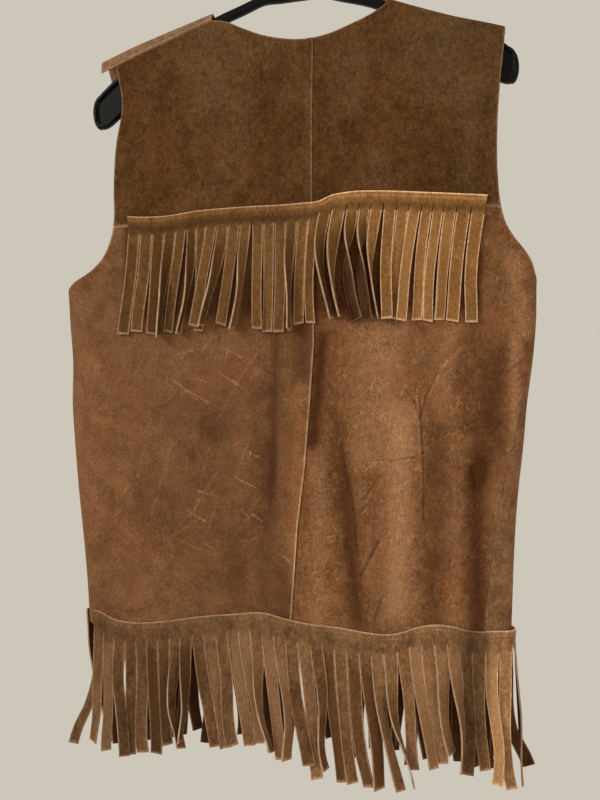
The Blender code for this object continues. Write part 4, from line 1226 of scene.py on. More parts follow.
def brushed_suede(name, dark, light, marks=None, lines=None, nap_level=0.20, rub=0.5, vein_level=0.06,
                  warmth=0.45, rubbed_and_lit=RUBBED_AND_LIT_HIDE, shaded=False):
    """Napped side of the suede: mottled, brushed in soft patches, paler where an edge is rubbed."""
    finish = Finish(name, **BRUSHED_SHEEN)
    cloud, patch, nap, fibre, vein_place, warm = finish.noises(BRUSHED_NOISE)
    veins = finish.web(**BRUSHED_WEB) * vein_place.soft(*BRUSHED_WEB_PLACES)
    tone = blend(BRUSHED_TONE, cloud, patch, nap)
    redder = tuple(level * share for level, share in zip(light, REDDER))
    colour = finish.mix(tone.soft(*TONE_RANGE), dark, light)
    colour = finish.mix(warm.soft(*WARM_RANGE) * warmth, colour, redder)
    level = 1.0 + (nap - 0.5) * nap_level * NAP_CONTRAST
    level = level + (fibre - 0.5) * nap_level * FIBRE_CONTRAST + veins * fibre * vein_level
    if marks is not None:
        # Painted shade in troughs; paler bands are partly rubbed wear, partly painted light
        drawn = streaks(finish, marks, (patch - 0.5) * BRUSHED_SWAY)
        colour = finish.mix((drawn * (MARK_BASE + nap * MARK_NAP)).clamp(), colour, rubbed_and_lit)
        colour = finish.mix((drawn * BRUSHED_SHADE_GAIN).clamp(), colour, PAINTED_SHADE_TONE)
    # Painted shade in the velvet's fine creases and painted light beside them
    if lines is not None:
        level = level * (1.0 + strokes(finish, lines) * (nap + LINE_BASE))
    # Where shaded, the hide under the yoke fringe gets painted shadow
    if shaded:
        colour = finish.mix(fringe_shadow(finish) * FRINGE_SHADOW_DEPTH, colour, PAINTED_SHADE_TONE)
    rubbed = 1.0 - finish.stored("edge").soft(*BRUSHED_RUB)
    colour = finish.mix(rubbed * rub * (patch + BRUSHED_RUB_BASE), colour, RUBBED_EDGE)
    roughness = BRUSHED_ROUGHNESS - nap * BRUSHED_GLOSS
    relief = blend(BRUSHED_RELIEF, nap, fibre, patch) - veins * vein_level
    return finish.wear(finish.shade(colour, level), roughness, relief, BRUSHED_DEPTH)


def waxed_suede():
    """Smoother panel: waxy, with scuffs, crossed scratches and dark spots."""
    finish = Finish("waxed suede", **WAXED_SHEEN)
    cloud, patch, grain, fibre, web_place, small_web_place, warm = finish.noises(WAXED_NOISE)
    hide = finish.web(**WAXED_WEB) * web_place.soft(*WAXED_WEB_PLACES)
    small_hide = finish.web(**WAXED_SMALL_WEB) * small_web_place.soft(*WAXED_SMALL_WEB_PLACES)
    colour = finish.mix(blend(WAXED_TONE, cloud, patch, grain).soft(*TONE_RANGE), WAXED_DARK, WAXED_LIGHT)
    colour = finish.mix(warm.soft(*WARM_RANGE) * WAXED_WARMTH, colour, WAXED_WARM)
    level = 1.0 + (grain - 0.5) * WAXED_CONTRAST + (fibre - 0.5) * WAXED_CONTRAST
    level = level + hide * WEB_LIGHT + small_hide * SMALL_WEB_LIGHT
    scuffs = 0.0
    for lean, shift, cut in rows_of(SCUFFS):
        turned = finish.node("ShaderNodeVectorRotate", {"rotation_type": "Y_AXIS"},
                             {"Vector": finish.place, "Angle": lean})
        drawn = finish.node("ShaderNodeVectorMath", {"operation": "MULTIPLY_ADD"},
                            {0: turned, 1: SCUFF_DRAW, 2: (shift, 0.0, shift)})
        line = finish.node("ShaderNodeTexNoise", {}, {"Vector": drawn, **SCUFF_NOISE})
        place = finish.noise(**SCUFF_PLACE, shift=SCUFF_PLACE_SHIFT + shift)
        scuffs = line.soft(cut, cut + SCUFF_SOFT) * place.soft(*SCUFF_PLACES) + scuffs
    spots = 0.0
    for x, z, wide, tall, depth in SPOTS:
        a = (finish.x - x + (patch - 0.5) * SPOT_RAGGED) / wide
        b = (finish.z - z + (cloud - 0.5) * SPOT_RAGGED) / tall
        spots = ((a * a + b * b) * -1.0).fade() * depth + spots
    # Painted shade in troughs and painted light on lit ridges and slopes
    drawn = streaks(finish, WAXED_SHADING_MARKS, (patch - 0.5) * WAXED_SWAY)
    colour = finish.mix((drawn * WAXED_SHADE_GAIN).clamp(), colour, PAINTED_SHADE_TONE)
    level = level * (1.0 + drawn.at_least(0.0))
    level = level * (1.0 - spots) * (1.0 + scuffs * SCUFF_LIGHT)
    scratched = strokes(finish, SCRATCHES) * fibre.soft(*SCRATCH_BREAKS) * (grain * SCRATCH_LIGHT)
    colour = finish.mix((scratched + scuffs * SCUFF_PALE).clamp(), colour, RUBBED_AND_LIT_HIDE)
    # Painted shadow of the yoke fringe on the waxed panel
    colour = finish.mix(fringe_shadow(finish) * FRINGE_SHADOW_DEPTH, colour, PAINTED_SHADE_TONE)
    rubbed = 1.0 - finish.stored("edge").soft(*WAXED_RUB)
    colour = finish.mix(rubbed * (patch + WAXED_RUB_BASE), colour, RUBBED_EDGE)
    roughness = WAXED_ROUGHNESS + grain * WAXED_DULL - scuffs * SCUFF_GLOSS
    relief = blend(WAXED_RELIEF, grain, fibre, patch) - scuffs * SCUFF_RELIEF
    return finish.wear(finish.shade(colour, level), roughness, relief, WAXED_DEPTH)


def fringe_suede(name, dark, light, root_shade, strip_top_light, paler, outline, turned_away=None):
    """Strip and strands: brushed suede whose tone shifts from strand to strand.

    The strip is painted lighter along its top, as painted light on the flat band; root_shade is
    painted shade on the strands just under the strip; paler gives where across the back the
    strands start and end to grow paler as painted light, and by how much; turned_away gives the
    place and width of a fold darkened by painted shade, with painted light beyond it.
    """
    finish = Finish(name, **FRINGE_SHEEN)
    patch, nap, fibre = finish.noises(FRINGE_NOISE)
    tone = finish.stored("tone")
    colour = finish.mix(blend(FRINGE_TONE, patch, nap, tone).soft(*FRINGE_TONE_RANGE), dark, light)
    fall = finish.stored("fall")
    # Painted shade on the strands just under the strip
    painted_root_shade = ((fall - BAND_SHADE_AT) / BAND_SHADE_WIDTH).hump() * root_shade
    painted_root_shade = painted_root_shade * (BAND_SHADE_BASE + patch * BAND_SHADE_PATCH)
    level = 1.0 + (nap - 0.5) * FRINGE_CONTRAST + (fibre - 0.5) * FRINGE_CONTRAST
    level = level * (1.0 - painted_root_shade)
    # One side of the fringe painted paler: painted light
    paler_from, paler_to, paler_by = paler
    level = level * (1.0 + finish.x.soft(paler_from, paler_to) * paler_by)
    # Painted light along the strip's top
    level = level * (1.0 + fall.soft(*STRIP_TOP_LIGHT_RANGE) * strip_top_light)
    if turned_away is not None:
        # Painted shade where the strip turns away from the light, painted light beyond it
        place, width = turned_away
        level = level * (1.0 - ((finish.x - place) / width).hump() * FOLD_SHADE)
        beyond = finish.x.soft(place - width, place - BEYOND_FOLD * width) * finish.y.soft(*BACK_FACE)
        level = level * (1.0 + beyond * BEYOND_FOLD_LIGHT)
    rubbed = 1.0 - finish.stored("edge").soft(*FRINGE_RUB)
    tip = fall.soft(*TIP_RUB)
    colour = finish.mix(rubbed.at_least(tip) * outline * (FRINGE_RUB_BASE + nap), colour, RUBBED_EDGE)
    roughness = FRINGE_ROUGHNESS - nap * FRINGE_GLOSS
    relief = blend(FRINGE_RELIEF, nap, patch, fibre)
    return finish.wear(finish.shade(colour, level), roughness, relief, FRINGE_DEPTH)


def raw_edge(name, dark, light):
    """Cut face of the hide: pale and fibrous."""
    finish = Finish(name, **EDGE_SHEEN)
    fibre, patch = finish.noises(EDGE_NOISE)
    colour = finish.mix(blend(EDGE_TONE, fibre, patch).soft(*EDGE_TONE_RANGE), dark, light)
    return finish.wear(colour, EDGE_ROUGHNESS, fibre, EDGE_DEPTH)


def sewing_thread():
    """Twisted thread, browner than the strip."""
    finish = Finish("sewing thread", **THREAD_SHEEN)
    twist = finish.noise(**THREAD_NOISE)
    colour = finish.mix(twist.soft(*THREAD_TONE_RANGE), THREAD_DARK, THREAD_LIGHT)
    return finish.wear(colour, THREAD_ROUGHNESS, twist, THREAD_DEPTH)


def moulded_plastic():
    """Black hanger plastic: faintly pebbled, duller where it has been handled."""
    finish = Finish("moulded black plastic", specular_ior_level=PLASTIC_SHINE)
    pebble, handled, dust = finish.noises(PLASTIC_NOISE)
    colour = finish.mix(dust.soft(*DUST_RANGE), PLASTIC_DARK, PLASTIC_DUSTY)
    roughness = PLASTIC_ROUGHNESS + handled * PLASTIC_DULL
    return finish.wear(colour, roughness, blend(PLASTIC_RELIEF, pebble, handled), PLASTIC_DEPTH)


# ---------------------------------------------------------------- meshes

def piece(name, points, faces, slots, finishes, stored=None, crisp_angle=50):
    """Put a mesh in the scene; each face has the number of its finish."""
    mesh = bpy.data.meshes.new(name)
    mesh.from_pydata([tuple(map(float, p)) for p in points], [], faces)
    for finish in finishes:
        mesh.materials.append(finish)
    mesh.polygons.foreach_set("material_index", slots)
    for key, values in (stored or {}).items():
        layer = mesh.attributes.new(key, "FLOAT", "POINT")
        layer.data.foreach_set("value", np.asarray(values, dtype=np.float32).ravel())
    shell = bmesh.new()
    shell.from_mesh(mesh)
    bmesh.ops.recalc_face_normals(shell, faces=shell.faces)
    shell.to_mesh(mesh)
    shell.free()
    mesh.shade_smooth()
    mesh.set_sharp_from_angle(angle=radians(crisp_angle))
    made = bpy.data.objects.new(name, mesh)
    bpy.context.scene.collection.objects.link(made)
    return made


def settle(made, node):
    """Make a dressed piece stand for its solid and ride with the one body."""
    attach(made, "root")
    if node:
        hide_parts(node)
    return made


def finer(values, times):
    """Put more places between the given ones."""
    values = np.asarray(values, dtype=float)
    count = (len(values) - 1) * times + 1
    return np.interp(np.linspace(0, len(values) - 1, count), np.arange(len(values)), values)


def run_along(points):
    """Distance along the cloth from the first row of a grid."""
    step = np.linalg.norm(np.diff(points, axis=0), axis=-1)
    return np.concatenate([np.zeros((1, step.shape[1])), np.cumsum(step, axis=0)])


def raw_distance(grid, raw):
    """Distance of each point of a grid to the nearest raw border; raw names the borders that are."""
    up = run_along(grid)
    over = run_along(grid.transpose(1, 0, 2)).T
    sewn = SEWN_DISTANCE
    below_armhole = grid[..., 2] < ARMHOLE_FOOT
    near = np.full(up.shape, sewn)
    if "foot" in raw:
        near = np.minimum(near, up)
    if "head" in raw:
        near = np.minimum(near, up[-1] - up)
    if "start" in raw:
        near = np.minimum(near, over)
    if "armhole" in raw:
        near = np.minimum(near, np.where(below_armhole, sewn, over[:, -1:] - over))
    return near


def shell(name, outer, inner, finishes, raw):
    """Close two matching grids into a thin wall: napped outside, plain inside, cut edge where raw."""
    rows, cols = outer.shape[:2]
    points = np.concatenate([outer.reshape(-1, 3), inner.reshape(-1, 3)])
    under = rows * cols
    faces = []
    slots = []
    for i in range(rows - 1):
        for j in range(cols - 1):
            a = i * cols + j
            quad = (a, a + 1, a + cols + 1, a + cols)
            faces.append(quad)
            faces.append(tuple(under + k for k in reversed(quad)))
            slots += [0, 1]
    rim = list(range(cols))
    rim += [i * cols + cols - 1 for i in range(1, rows)]
    rim += [(rows - 1) * cols + j for j in range(cols - 2, -1, -1)]
    rim += [i * cols for i in range(rows - 2, 0, -1)]
    edge = raw_distance(outer, raw)
    for a, b in zip(rim, rim[1:] + rim[:1]):
        faces.append((b, a, under + a, under + b))
        is_raw = max(edge.ravel()[a], edge.ravel()[b]) < TOUCHING
        slots.append(2 if is_raw else 0)
    return piece(name, points, faces, slots, finishes, {"edge": np.concatenate([edge, edge])})


# ---------------------------------------------------------------- cloth pieces

def cloth_panel(name, node, start, end, rows, bottom, top, shares, finishes, raw, lap=None):
    """A cloth piece between two edges and two ends, on the same lines as its solid.

    With a lap, the edge at the start stands over (or under) its neighbour at the centre seam, and
    reaches past the seam if it is the upper one.
    """
    past_seam = LAP_WIDTH / HALF_GIRTH if lap is not None and lap > 0 else 0.0

    def girths(z):
        first = start(z) - past_seam
        return first, first + (end(z) - first) * shares

    rows = finer(rows, ROW_PARTS)[:, None]
    shares = finer(shares, COLUMN_PARTS)[None, :]
    to_bottom = 1 - ease((rows - rows[0]) / END_REACH)
    to_top = 1 - ease((rows[-1] - rows) / END_REACH)
    z = rows + 0 * shares
    for _ in range(SETTLING_ROUNDS):
        x = form(girths(z)[1], z)[..., 0]
        z = rows + to_bottom * (bottom(x) - rows[0]) + to_top * (top(x) - rows[-1])
    first, g = girths(z)
    lift = 0.0 * g
    if lap is not None:
        from_seam = np.abs(g - first) * HALF_GIRTH
        lift = lap * np.exp(-(from_seam / LAP_REACH) ** 2)
    made = shell(name, cloth(g, z, lift), cloth(g, z, lift - WALL), finishes, raw)
    return settle(made, node)


def make_lower_back(hand, sign, finishes):
    """Half of the lower back; the left half laps over the right at the centre seam."""
    return cloth_panel("dressed_lower_back_" + hand, "lower_back_" + hand,
                       lambda z: seam_girth(z, sign),
                       lambda z: side_girth(z, hand, sign, BACK_ARMHOLE, False),
                       SIDE_ROWS + ARMHOLE_ROWS + (YOKE_ROWS[0],), hem_of_back,
                       lambda x: yoke_seam(x) - SEAM_GAP / 2, shares_to_fold(*BACK_COLUMNS), finishes,
                       ("start", "head", "armhole") if sign > 0 else ("head", "armhole"),
                       lap=LAP_OVER if sign > 0 else -LAP_UNDER)


def make_yoke(hand, sign, finishes):
    """Half of the back yoke, from the centre seam to the armhole and over the shoulder."""
    seam_x = CENTRE_SEAM["x"][0]
    arm_x = sign * BACK_ARMHOLE[hand][0]
    neck = abs(NECK_POINT[hand] - seam_x) / abs(arm_x - seam_x)
    shares = np.linspace(0, neck, NECK_COLUMNS)
    if hand == "right":
        climb = RIGHT_NECK_CLIMB / abs(arm_x - seam_x)
        shares = np.append(shares, np.linspace(neck, neck + climb, CLIMB_COLUMNS)[1:])
    shares = np.append(shares, np.linspace(shares[-1], 1, ARM_COLUMNS)[1:])
    return cloth_panel("dressed_yoke_" + hand, "back_yoke_" + hand,
                       lambda z: seam_girth(z, sign),
                       lambda z: side_girth(z, hand, sign, BACK_ARMHOLE, False),
                       YOKE_ROWS + CREST_ROWS, lambda x: yoke_seam(x) + SEAM_GAP / 2,
                       lambda x: yoke_end(x, hand), shares, finishes,
                       ("start", "foot", "head", "armhole") if sign > 0 else ("foot", "head", "armhole"),
                       lap=YOKE_LAP if sign > 0 else -YOKE_LAP)


def make_front(hand, sign, finishes):
    """One front, from its free edge to the side seam and over the shoulder crest."""
    return cloth_panel("dressed_front_" + hand, "front_" + hand,
                       lambda z: girth_at(sign * smooth(FRONT_EDGE, hand, z), z, True),
                       lambda z: side_girth(z, hand, sign, FRONT_ARMHOLE, True),
                       SIDE_ROWS + ARMHOLE_ROWS + UPPER_FRONT_ROWS + CREST_ROWS,
                       hem_of_front, lambda x: shoulder_end(x, hand, True),
                       shares_to_fold(*FRONT_COLUMNS), finishes, ("start", "head", "armhole"))


def strip_standoff(g):
    """How far a sewn strip stands off the panel: more where it rounds the side fold."""
    near_fold = np.exp(-((np.abs(g) - 1) / FOLD_SPREAD) ** 2)
    return STRIP_STANDOFF + FOLD_STANDOFF * near_fold


def strand_rings(k, g_root, width, strand, foot, sway, thinning):
    """Cross-sections of one strand: front from +X to -X, then back again."""
    fall = np.linspace(0, 1, STRAND_STEPS + 1)[1:]
    drop = foot - strand["low"]
    turn = strand["turn"] * ease(fall / TURN_BY)
    thinner = thinning * (0.5 + 0.5 * rhythm("thin", k))
    half = width / 2 * (1 + (STRAND_FILL - 1) * ease(fall / FILL_BY) - thinner * ease(fall / THIN_BY))
    turn = turn + CURL * sway / HALF_GIRTH * rhythm("curl", k) * ease((fall - CURL_FROM) / CURL_OVER)
    swing = sway * (1 + TURNED_SWING * abs(sin(strand["turn"])))
    turns, varied = WAVE_TURNS
    wave = swing * fall * np.sin((turns + varied * rhythm("wave", k)) * fall + WAVE_PHASE * k)
    lift = (strip_standoff(g_root) + WALL / 2 + strand["out"] * ease(fall)
            + (half - WALL / 2) * np.abs(np.sin(turn)) + 0.5 * np.abs(wave)
            + STRAND_STAGGER * (k % 2) * ease(fall / FILL_BY))
    shift = strand["shift"] * fall ** SHIFT_POWER + strand["bow"] * np.sin(pi * fall) + wave * WAVE_SHARE
    g = g_root + shift / HALF_GIRTH
    z = foot - drop * fall
    middle = cloth(g, z, lift)
    first = cloth(np.array([g_root]), np.array([foot]), np.array([lift[0]]))
    path = np.concatenate([first, middle])
    rings = []
    for i, centre in enumerate(middle):
        run = path[i + 1] - path[i] if i == len(middle) - 1 else path[i + 2] - path[i]
        run = run / np.linalg.norm(run)
        out = normal(g[i], z[i])
        out[2] = 0.0
        out = out / np.linalg.norm(out)
        across = np.cross(run, out)
        across = across / np.linalg.norm(across)
        out = np.cross(across, run)
        wide = (cos(turn[i]) * across + sin(turn[i]) * out) * half[i]
        thick = (cos(turn[i]) * out - sin(turn[i]) * across) * WALL / 2
        cup = thick / WALL * STRAND_CUP * rhythm("cup", k) * ease(fall[i] / CUP_BY)
        slant = run * TIP_SLANT * rhythm("slant", k) if i == len(middle) - 1 else 0.0 * run
        rings.append([centre + wide + thick + slant, centre + thick + cup, centre - wide + thick - slant,
                      centre - wide - thick - slant, centre - thick + cup, centre + wide - thick + slant])
    return fall, rings


def fringe(name, node, roots, strands, strip_top, band, sway, thinning, finishes):
    """A backing strip and its strands in one mesh; roots give each strand's two girth stations."""
    stations = np.array([a + (b - a) * share for a, b in roots for share in (0.0, 0.5, 1.0)])
    cols = len(stations)
    heights = np.array(BAND_ROWS)
    root_x = form(stations, SECTION_HEIGHT)[:, 0]
    top = np.array([float(strip_top(x)) for x in root_x])
    z = top[None, :] - band * heights[:, None]
    g = stations[None, :] + 0 * z
    base = strip_standoff(g)
    front = cloth(g, z, base + WALL)
    back = cloth(g, z, base)
    rows = len(heights)
    points = list(front.reshape(-1, 3)) + list(back.reshape(-1, 3))
    under = rows * cols
    near_top = (band * heights)[:, None] + 0 * z
    edge = list(near_top.ravel()) * 2
    fall = list((near_top - band).ravel() / STRAND_REACH) * 2
    tone = [0.0] * (2 * under)
    faces = []
    slots = []
    for i in range(rows - 1):
        for j in range(cols - 1):
            a = i * cols + j
            quad = (a, a + cols, a + cols + 1, a + 1)
            faces.append(quad)
            faces.append(tuple(under + c for c in reversed(quad)))
            slots += [0, 1]
    for j in range(cols - 1):
        faces.append((j, j + 1, under + j + 1, under + j))
        slots.append(2)
        if j % 3 == 2:
            a = (rows - 1) * cols + j
            faces.append((a + 1, a, under + a, under + a + 1))
            slots.append(2)
    for j in (0, cols - 1):
        for i in range(rows - 1):
            a = i * cols + j
            faces.append((a, a + cols, under + a + cols, under + a))
            slots.append(2)
    for k, (a_side, b_side) in enumerate(roots):
        foot_row = (rows - 1) * cols + 3 * k
        ring = [foot_row + 2, foot_row + 1, foot_row, under + foot_row, under + foot_row + 1,
                under + foot_row + 2]
        width = abs(b_side - a_side) * HALF_GIRTH
        foot = float(strip_top(form(a_side, SECTION_HEIGHT)[0])) - band
        falls, rings = strand_rings(k, (a_side + b_side) / 2, width, strands[k], foot, sway, thinning)
        shade = rhythm("tone", k) * MAIN_SHARE + rhythm("slow_tone", k) * SLOW_SHARE
        for part, corners in zip(falls, rings):
            new = [len(points) + c for c in range(6)]
            points.extend(corners)
            edge += [0.0, width / 2, 0.0, 0.0, width / 2, 0.0]
            fall += [part] * 6
            tone += [shade * min(1.0, part * TONE_QUICKNESS)] * 6
            for c, slot in enumerate((0, 0, 2, 1, 1, 2)):
                d = (c + 1) % 6
                faces.append((ring[c], ring[d], new[d], new[c]))
                slots.append(slot)
            ring = new
        faces.append(tuple(ring))
        slots.append(2)
    stored = {"edge": edge, "fall": fall, "tone": tone}
    made = piece(name, points, faces, slots, finishes, stored, crisp_angle=35)
    return settle(made, node)


def strand_list(table, roots):
    """Turn a strand table in millimetres and degrees into one record for each strand."""
    strands = []
    for k, pair in enumerate(roots):
        low = table["low"][k] / 1000
        straight_x = float(form(sum(pair) / 2, low)[0])
        strands.append({
            "low": low,
            "turn": radians(table["turn"][k]),
            "shift": table["tip"][k] / 1000 - straight_x,
            "bow": table["bow"][k] / 1000,
            "out": table["out"][k] / 1000,
        })
    return strands


def cut_roots(cuts, z):
    """Girth stations of the strands between cuts that are given across the back, from +X to -X."""
    roots = []
    for left, right in zip(cuts[:-1], cuts[1:]):
        roots.append((float(girth_at(right + SLIT / 2, z)), float(girth_at(left - SLIT / 2, z))))
    return roots


def make_yoke_fringe(finishes):
    """The strip over the yoke seam."""
    roots_x = YOKE_STRANDS["root"] / 1000
    cuts = (roots_x[:-1] + roots_x[1:]) / 2
    cuts = np.concatenate([[2 * roots_x[0] - cuts[0]], cuts, [2 * roots_x[-1] - cuts[-1]]])
    roots = cut_roots(cuts, YOKE_SEAM_HEIGHT)
    strands = strand_list(YOKE_STRANDS, roots)
    return fringe("dressed_yoke_fringe", "yoke_fringe", roots[::-1], strands[::-1], yoke_strip_top,
                  YOKE_BAND, STRAND_WAVE, YOKE_THINNING, finishes)


def make_hem_fringe_back(finishes):
    """The strip along the back hem."""
    cuts = np.linspace(HEM_ROOTS[0], HEM_ROOTS[1], len(HEM_STRANDS["tip"]) + 1)
    roots = cut_roots(cuts, FRONT_HEM_STRIP_TOP)
    strands = strand_list(HEM_STRANDS, roots)
    return fringe("dressed_hem_fringe_back", "hem_fringe_back", roots[::-1], strands[::-1], hem_strip_top,
                  HEM_BAND, HEM_WAVE, HEM_THINNING, finishes)


def make_hem_fringe_front(hand, strip, finishes):
    """The strip along one front's hem, from the side seam round to the free edge."""
    first, last, count = strip
    cuts = np.linspace(first, last, count + 1)
    slit = SLIT / 2 / HALF_GIRTH * (1 if last > first else -1)
    roots = [(a + slit, b - slit) for a, b in zip(cuts[:-1], cuts[1:])]
    strands = []
    for k in range(count):
        sway = rhythm("sway", k) * MAIN_SHARE + rhythm("slow_sway", k) * SLOW_SHARE
        stagger = rhythm("length", k) + QUICK_SHARE * rhythm("quick_length", k)
        least, more = FRONT_STRAND_TURN
        strands.append({
            "low": FRONT_STRAND_LOW - FRONT_STRAND_STAGGER * stagger,
            "turn": radians(least + more * max(0.0, rhythm("turn", k)) ** 2
                            + SIDE_TURN[hand] * np.exp(-SIDE_FADE * k * k)),
            "shift": FRONT_STRAND_SWAY * sway,
            "bow": FRONT_STRAND_BOW * cos(BOW_RATE * k),
            "out": FRONT_STRAND_OUT * (1 + rhythm("out", k)) + SIDE_FLARE[hand] * np.exp(-k),
        })
    if first > last:
        roots = [(b, a) for a, b in roots[::-1]]
        strands = strands[::-1]
    return fringe("dressed_hem_fringe_front_" + hand, "hem_fringe_front_" + hand, roots, strands,
                  front_strip_top, HEM_BAND, HEM_WAVE, HEM_THINNING, finishes)


# ---------------------------------------------------------------- hanger

def tilt(points):
    """Turn hanger points about the bearing point, the wearer's left side down."""
    c, s = cos(HANGER_TILT), sin(HANGER_TILT)
    pivot = float(HANGER_ARM["crest"][0])
    points = np.asarray(points, dtype=float)
    x = points[..., 0] * c + (points[..., 2] - pivot) * s
    z = pivot - points[..., 0] * s + (points[..., 2] - pivot) * c
    return np.stack([x, points[..., 1], z], axis=-1)


def hanger_ring(x):
    """Section of the arm: rounded edges, and a recessed panel inside a raised rim."""
    reach = abs(x)
    crest = float(smooth(HANGER_ARM, "crest", reach, key="x"))
    under = float(smooth(HANGER_ARM, "under", reach, key="x"))
    middle = (crest + under) / 2
    half = (crest - under) / 2
    past = max(0.0, (reach - PADDLE_TIP_START) / PADDLE_TIP_REACH)
    if past > 0:
        crest = float(smooth(HANGER_ARM, "crest", PADDLE_TIP_START, key="x"))
        under = float(smooth(HANGER_ARM, "under", PADDLE_TIP_START, key="x"))
        full = (crest - under) / 2
        half = full * sqrt(max(0.0, 1 - past * past))
    rim = min(PADDLE_RIM, 2 * half * RIM_SHARE)
    slope = min(RIM_SLOPE, (half - rim) * SLOPE_SHARE)
    inward = np.append(rim * np.array(RIM_STEPS), rim + slope * 0.5)
    inward = np.append(inward, np.linspace(rim + slope, half, PANEL_STEPS))
    from_edge = inward.copy()
    if past > 0:
        up = (half - inward) / full
        ratio = np.maximum(np.hypot(past, up), TOUCHING)
        near = (1 - ratio) * np.hypot(PADDLE_TIP_REACH * past, full * up) / ratio
        from_edge = np.minimum(inward, near)
    rounded = np.sqrt(1 - (1 - np.clip(from_edge / HANGER_EDGE_ROUND, 0.0, 1.0)) ** 2)
    start, end = RECESS_START
    sunk = RECESS_DEPTH * ease((from_edge - rim) / slope) * ease((reach - start) / (end - start))
    y = HANGER_HALF_THICKNESS * rounded - sunk
    z = half - inward
    side = [(a, middle + b) for a, b in zip(y, z)] + [(a, middle - b) for a, b in zip(y[-2::-1], z[-2::-1])]
    loop = side + [(-a, b) for a, b in side[-2:0:-1]]
    return tilt(np.array([(x, a, b) for a, b in loop]))


def make_hanger(finish):
    """Both arms in one piece, with a recessed panel in each paddle end."""
    half = np.append(np.arange(0.0, PADDLE_TIP_START, ARM_STEP),
                     np.arange(PADDLE_TIP_START, PADDLE_TIP_START + PADDLE_TIP_REACH, TIP_STEP))
    half = np.append(half, PADDLE_TIP_START + PADDLE_TIP_REACH * TIP_END)
    rings = [hanger_ring(x) for x in np.concatenate([-half[:0:-1], half])]
    size = len(rings[0])
    faces = [tuple(reversed(range(size))), tuple((len(rings) - 1) * size + c for c in range(size))]
    for k in range(len(rings) - 1):
        for c in range(size):
            d = (c + 1) % size
            faces.append((k * size + c, k * size + d, (k + 1) * size + d, (k + 1) * size + c))
    made = piece("dressed_hanger", np.concatenate(rings), faces, [0] * len(faces), [finish])
    return settle(made, "hanger")


# ---------------------------------------------------------------- sewing

def stitches(name, rows, finish):
    """Rows of stitches as small arched threads; each row is a list of points and outward directions."""
    points = []
    faces = []
    arch = np.array(STITCH_ARCH)[:, None] * THREAD_RADIUS
    rings = len(STITCH_ARCH)
    for path, outward in rows:
        step = np.linalg.norm(np.diff(path, axis=0), axis=1)
        run = np.append(0.0, np.cumsum(step))
        for s in range(int(run[-1] / STITCH_PITCH)):
            at = (s + np.linspace(0.5 - STITCH_SHARE / 2, 0.5 + STITCH_SHARE / 2, rings)) * STITCH_PITCH
            centre = np.stack([np.interp(at, run, path[:, c]) for c in range(3)], axis=1)
            out = np.stack([np.interp(at, run, outward[:, c]) for c in range(3)], axis=1)
            centre = centre + out * arch
            along = centre[-1] - centre[0]
            along = along / np.linalg.norm(along)
            base = len(points)
            for c in range(rings):
                side = np.cross(along, out[c])
                thin = STITCH_END if c in (0, rings - 1) else 1.0
                for a in np.linspace(0, 2 * pi, THREAD_SIDES + 1)[:-1]:
                    points.append(centre[c] + (side * cos(a) + out[c] * sin(a)) * THREAD_RADIUS * thin)
            for c in range(rings - 1):
                near = base + THREAD_SIDES * c
                far = near + THREAD_SIDES
                for a in range(THREAD_SIDES):
                    b = (a + 1) % THREAD_SIDES
                    faces.append((near + a, near + b, far + b, far + a))
            faces.append(tuple(base + a for a in range(THREAD_SIDES)))
            faces.append(tuple(far + a for a in reversed(range(THREAD_SIDES))))
    made = piece(name, points, faces, [0] * len(faces), [finish])
    return settle(made, None)


def strip_row(first, last, strip_top, below):
    """Path of a stitch row on a sewn strip, a fixed distance under its top edge."""
    g = np.linspace(first, last, STITCH_PATH_POINTS)
    x = form(g, SECTION_HEIGHT)[:, 0]
    z = np.array([float(strip_top(v)) for v in x]) - below
    return cloth(g, z, strip_standoff(g) + WALL), normal(g, z)


def back_row(ends, height, strip_top, below):
    """Path of a stitch row across the back, between two distances across."""
    first, last = (float(girth_at(x, height)) for x in ends)
    return strip_row(first, last, strip_top, below)


def sew(finish):
    """The rows that hold the strips."""
    yoke = [back_row(YOKE_STITCH_ENDS, YOKE_SEAM_HEIGHT, yoke_strip_top, YOKE_STITCH_ROW)]
    ends = (HEM_ROOTS[1] + STITCH_INSET, HEM_ROOTS[0] - STITCH_INSET)
    hem = []
    for below in HEM_STITCH_ROWS:
        hem.append(back_row(ends, FRONT_HEM_STRIP_TOP, hem_strip_top, below))
        for first, last, _ in (FRONT_LEFT_STRIP, FRONT_RIGHT_STRIP):
            hem.append(strip_row(first, last, front_strip_top, below))
    return [stitches("yoke_strip_stitches", yoke, finish),
            stitches("hem_strip_stitches", hem, finish)]


# ---------------------------------------------------------------- studio

def look_at(made, target):
    """Turn a lamp or the camera towards a point."""
    made.rotation_euler = (Vector(target) - made.location).to_track_quat("-Z", "Y").to_euler()


def soft_light(name, place, size, power, colour):
    """A round area lamp turned to the vest."""
    lamp = bpy.data.lights.new(name, "AREA")
    lamp.shape = "DISK"
    lamp.size = size
    lamp.energy = power
    lamp.color = colour
    made = bpy.data.objects.new(name, lamp)
    made.location = place
    bpy.context.scene.collection.objects.link(made)
    look_at(made, VIEW_TARGET)


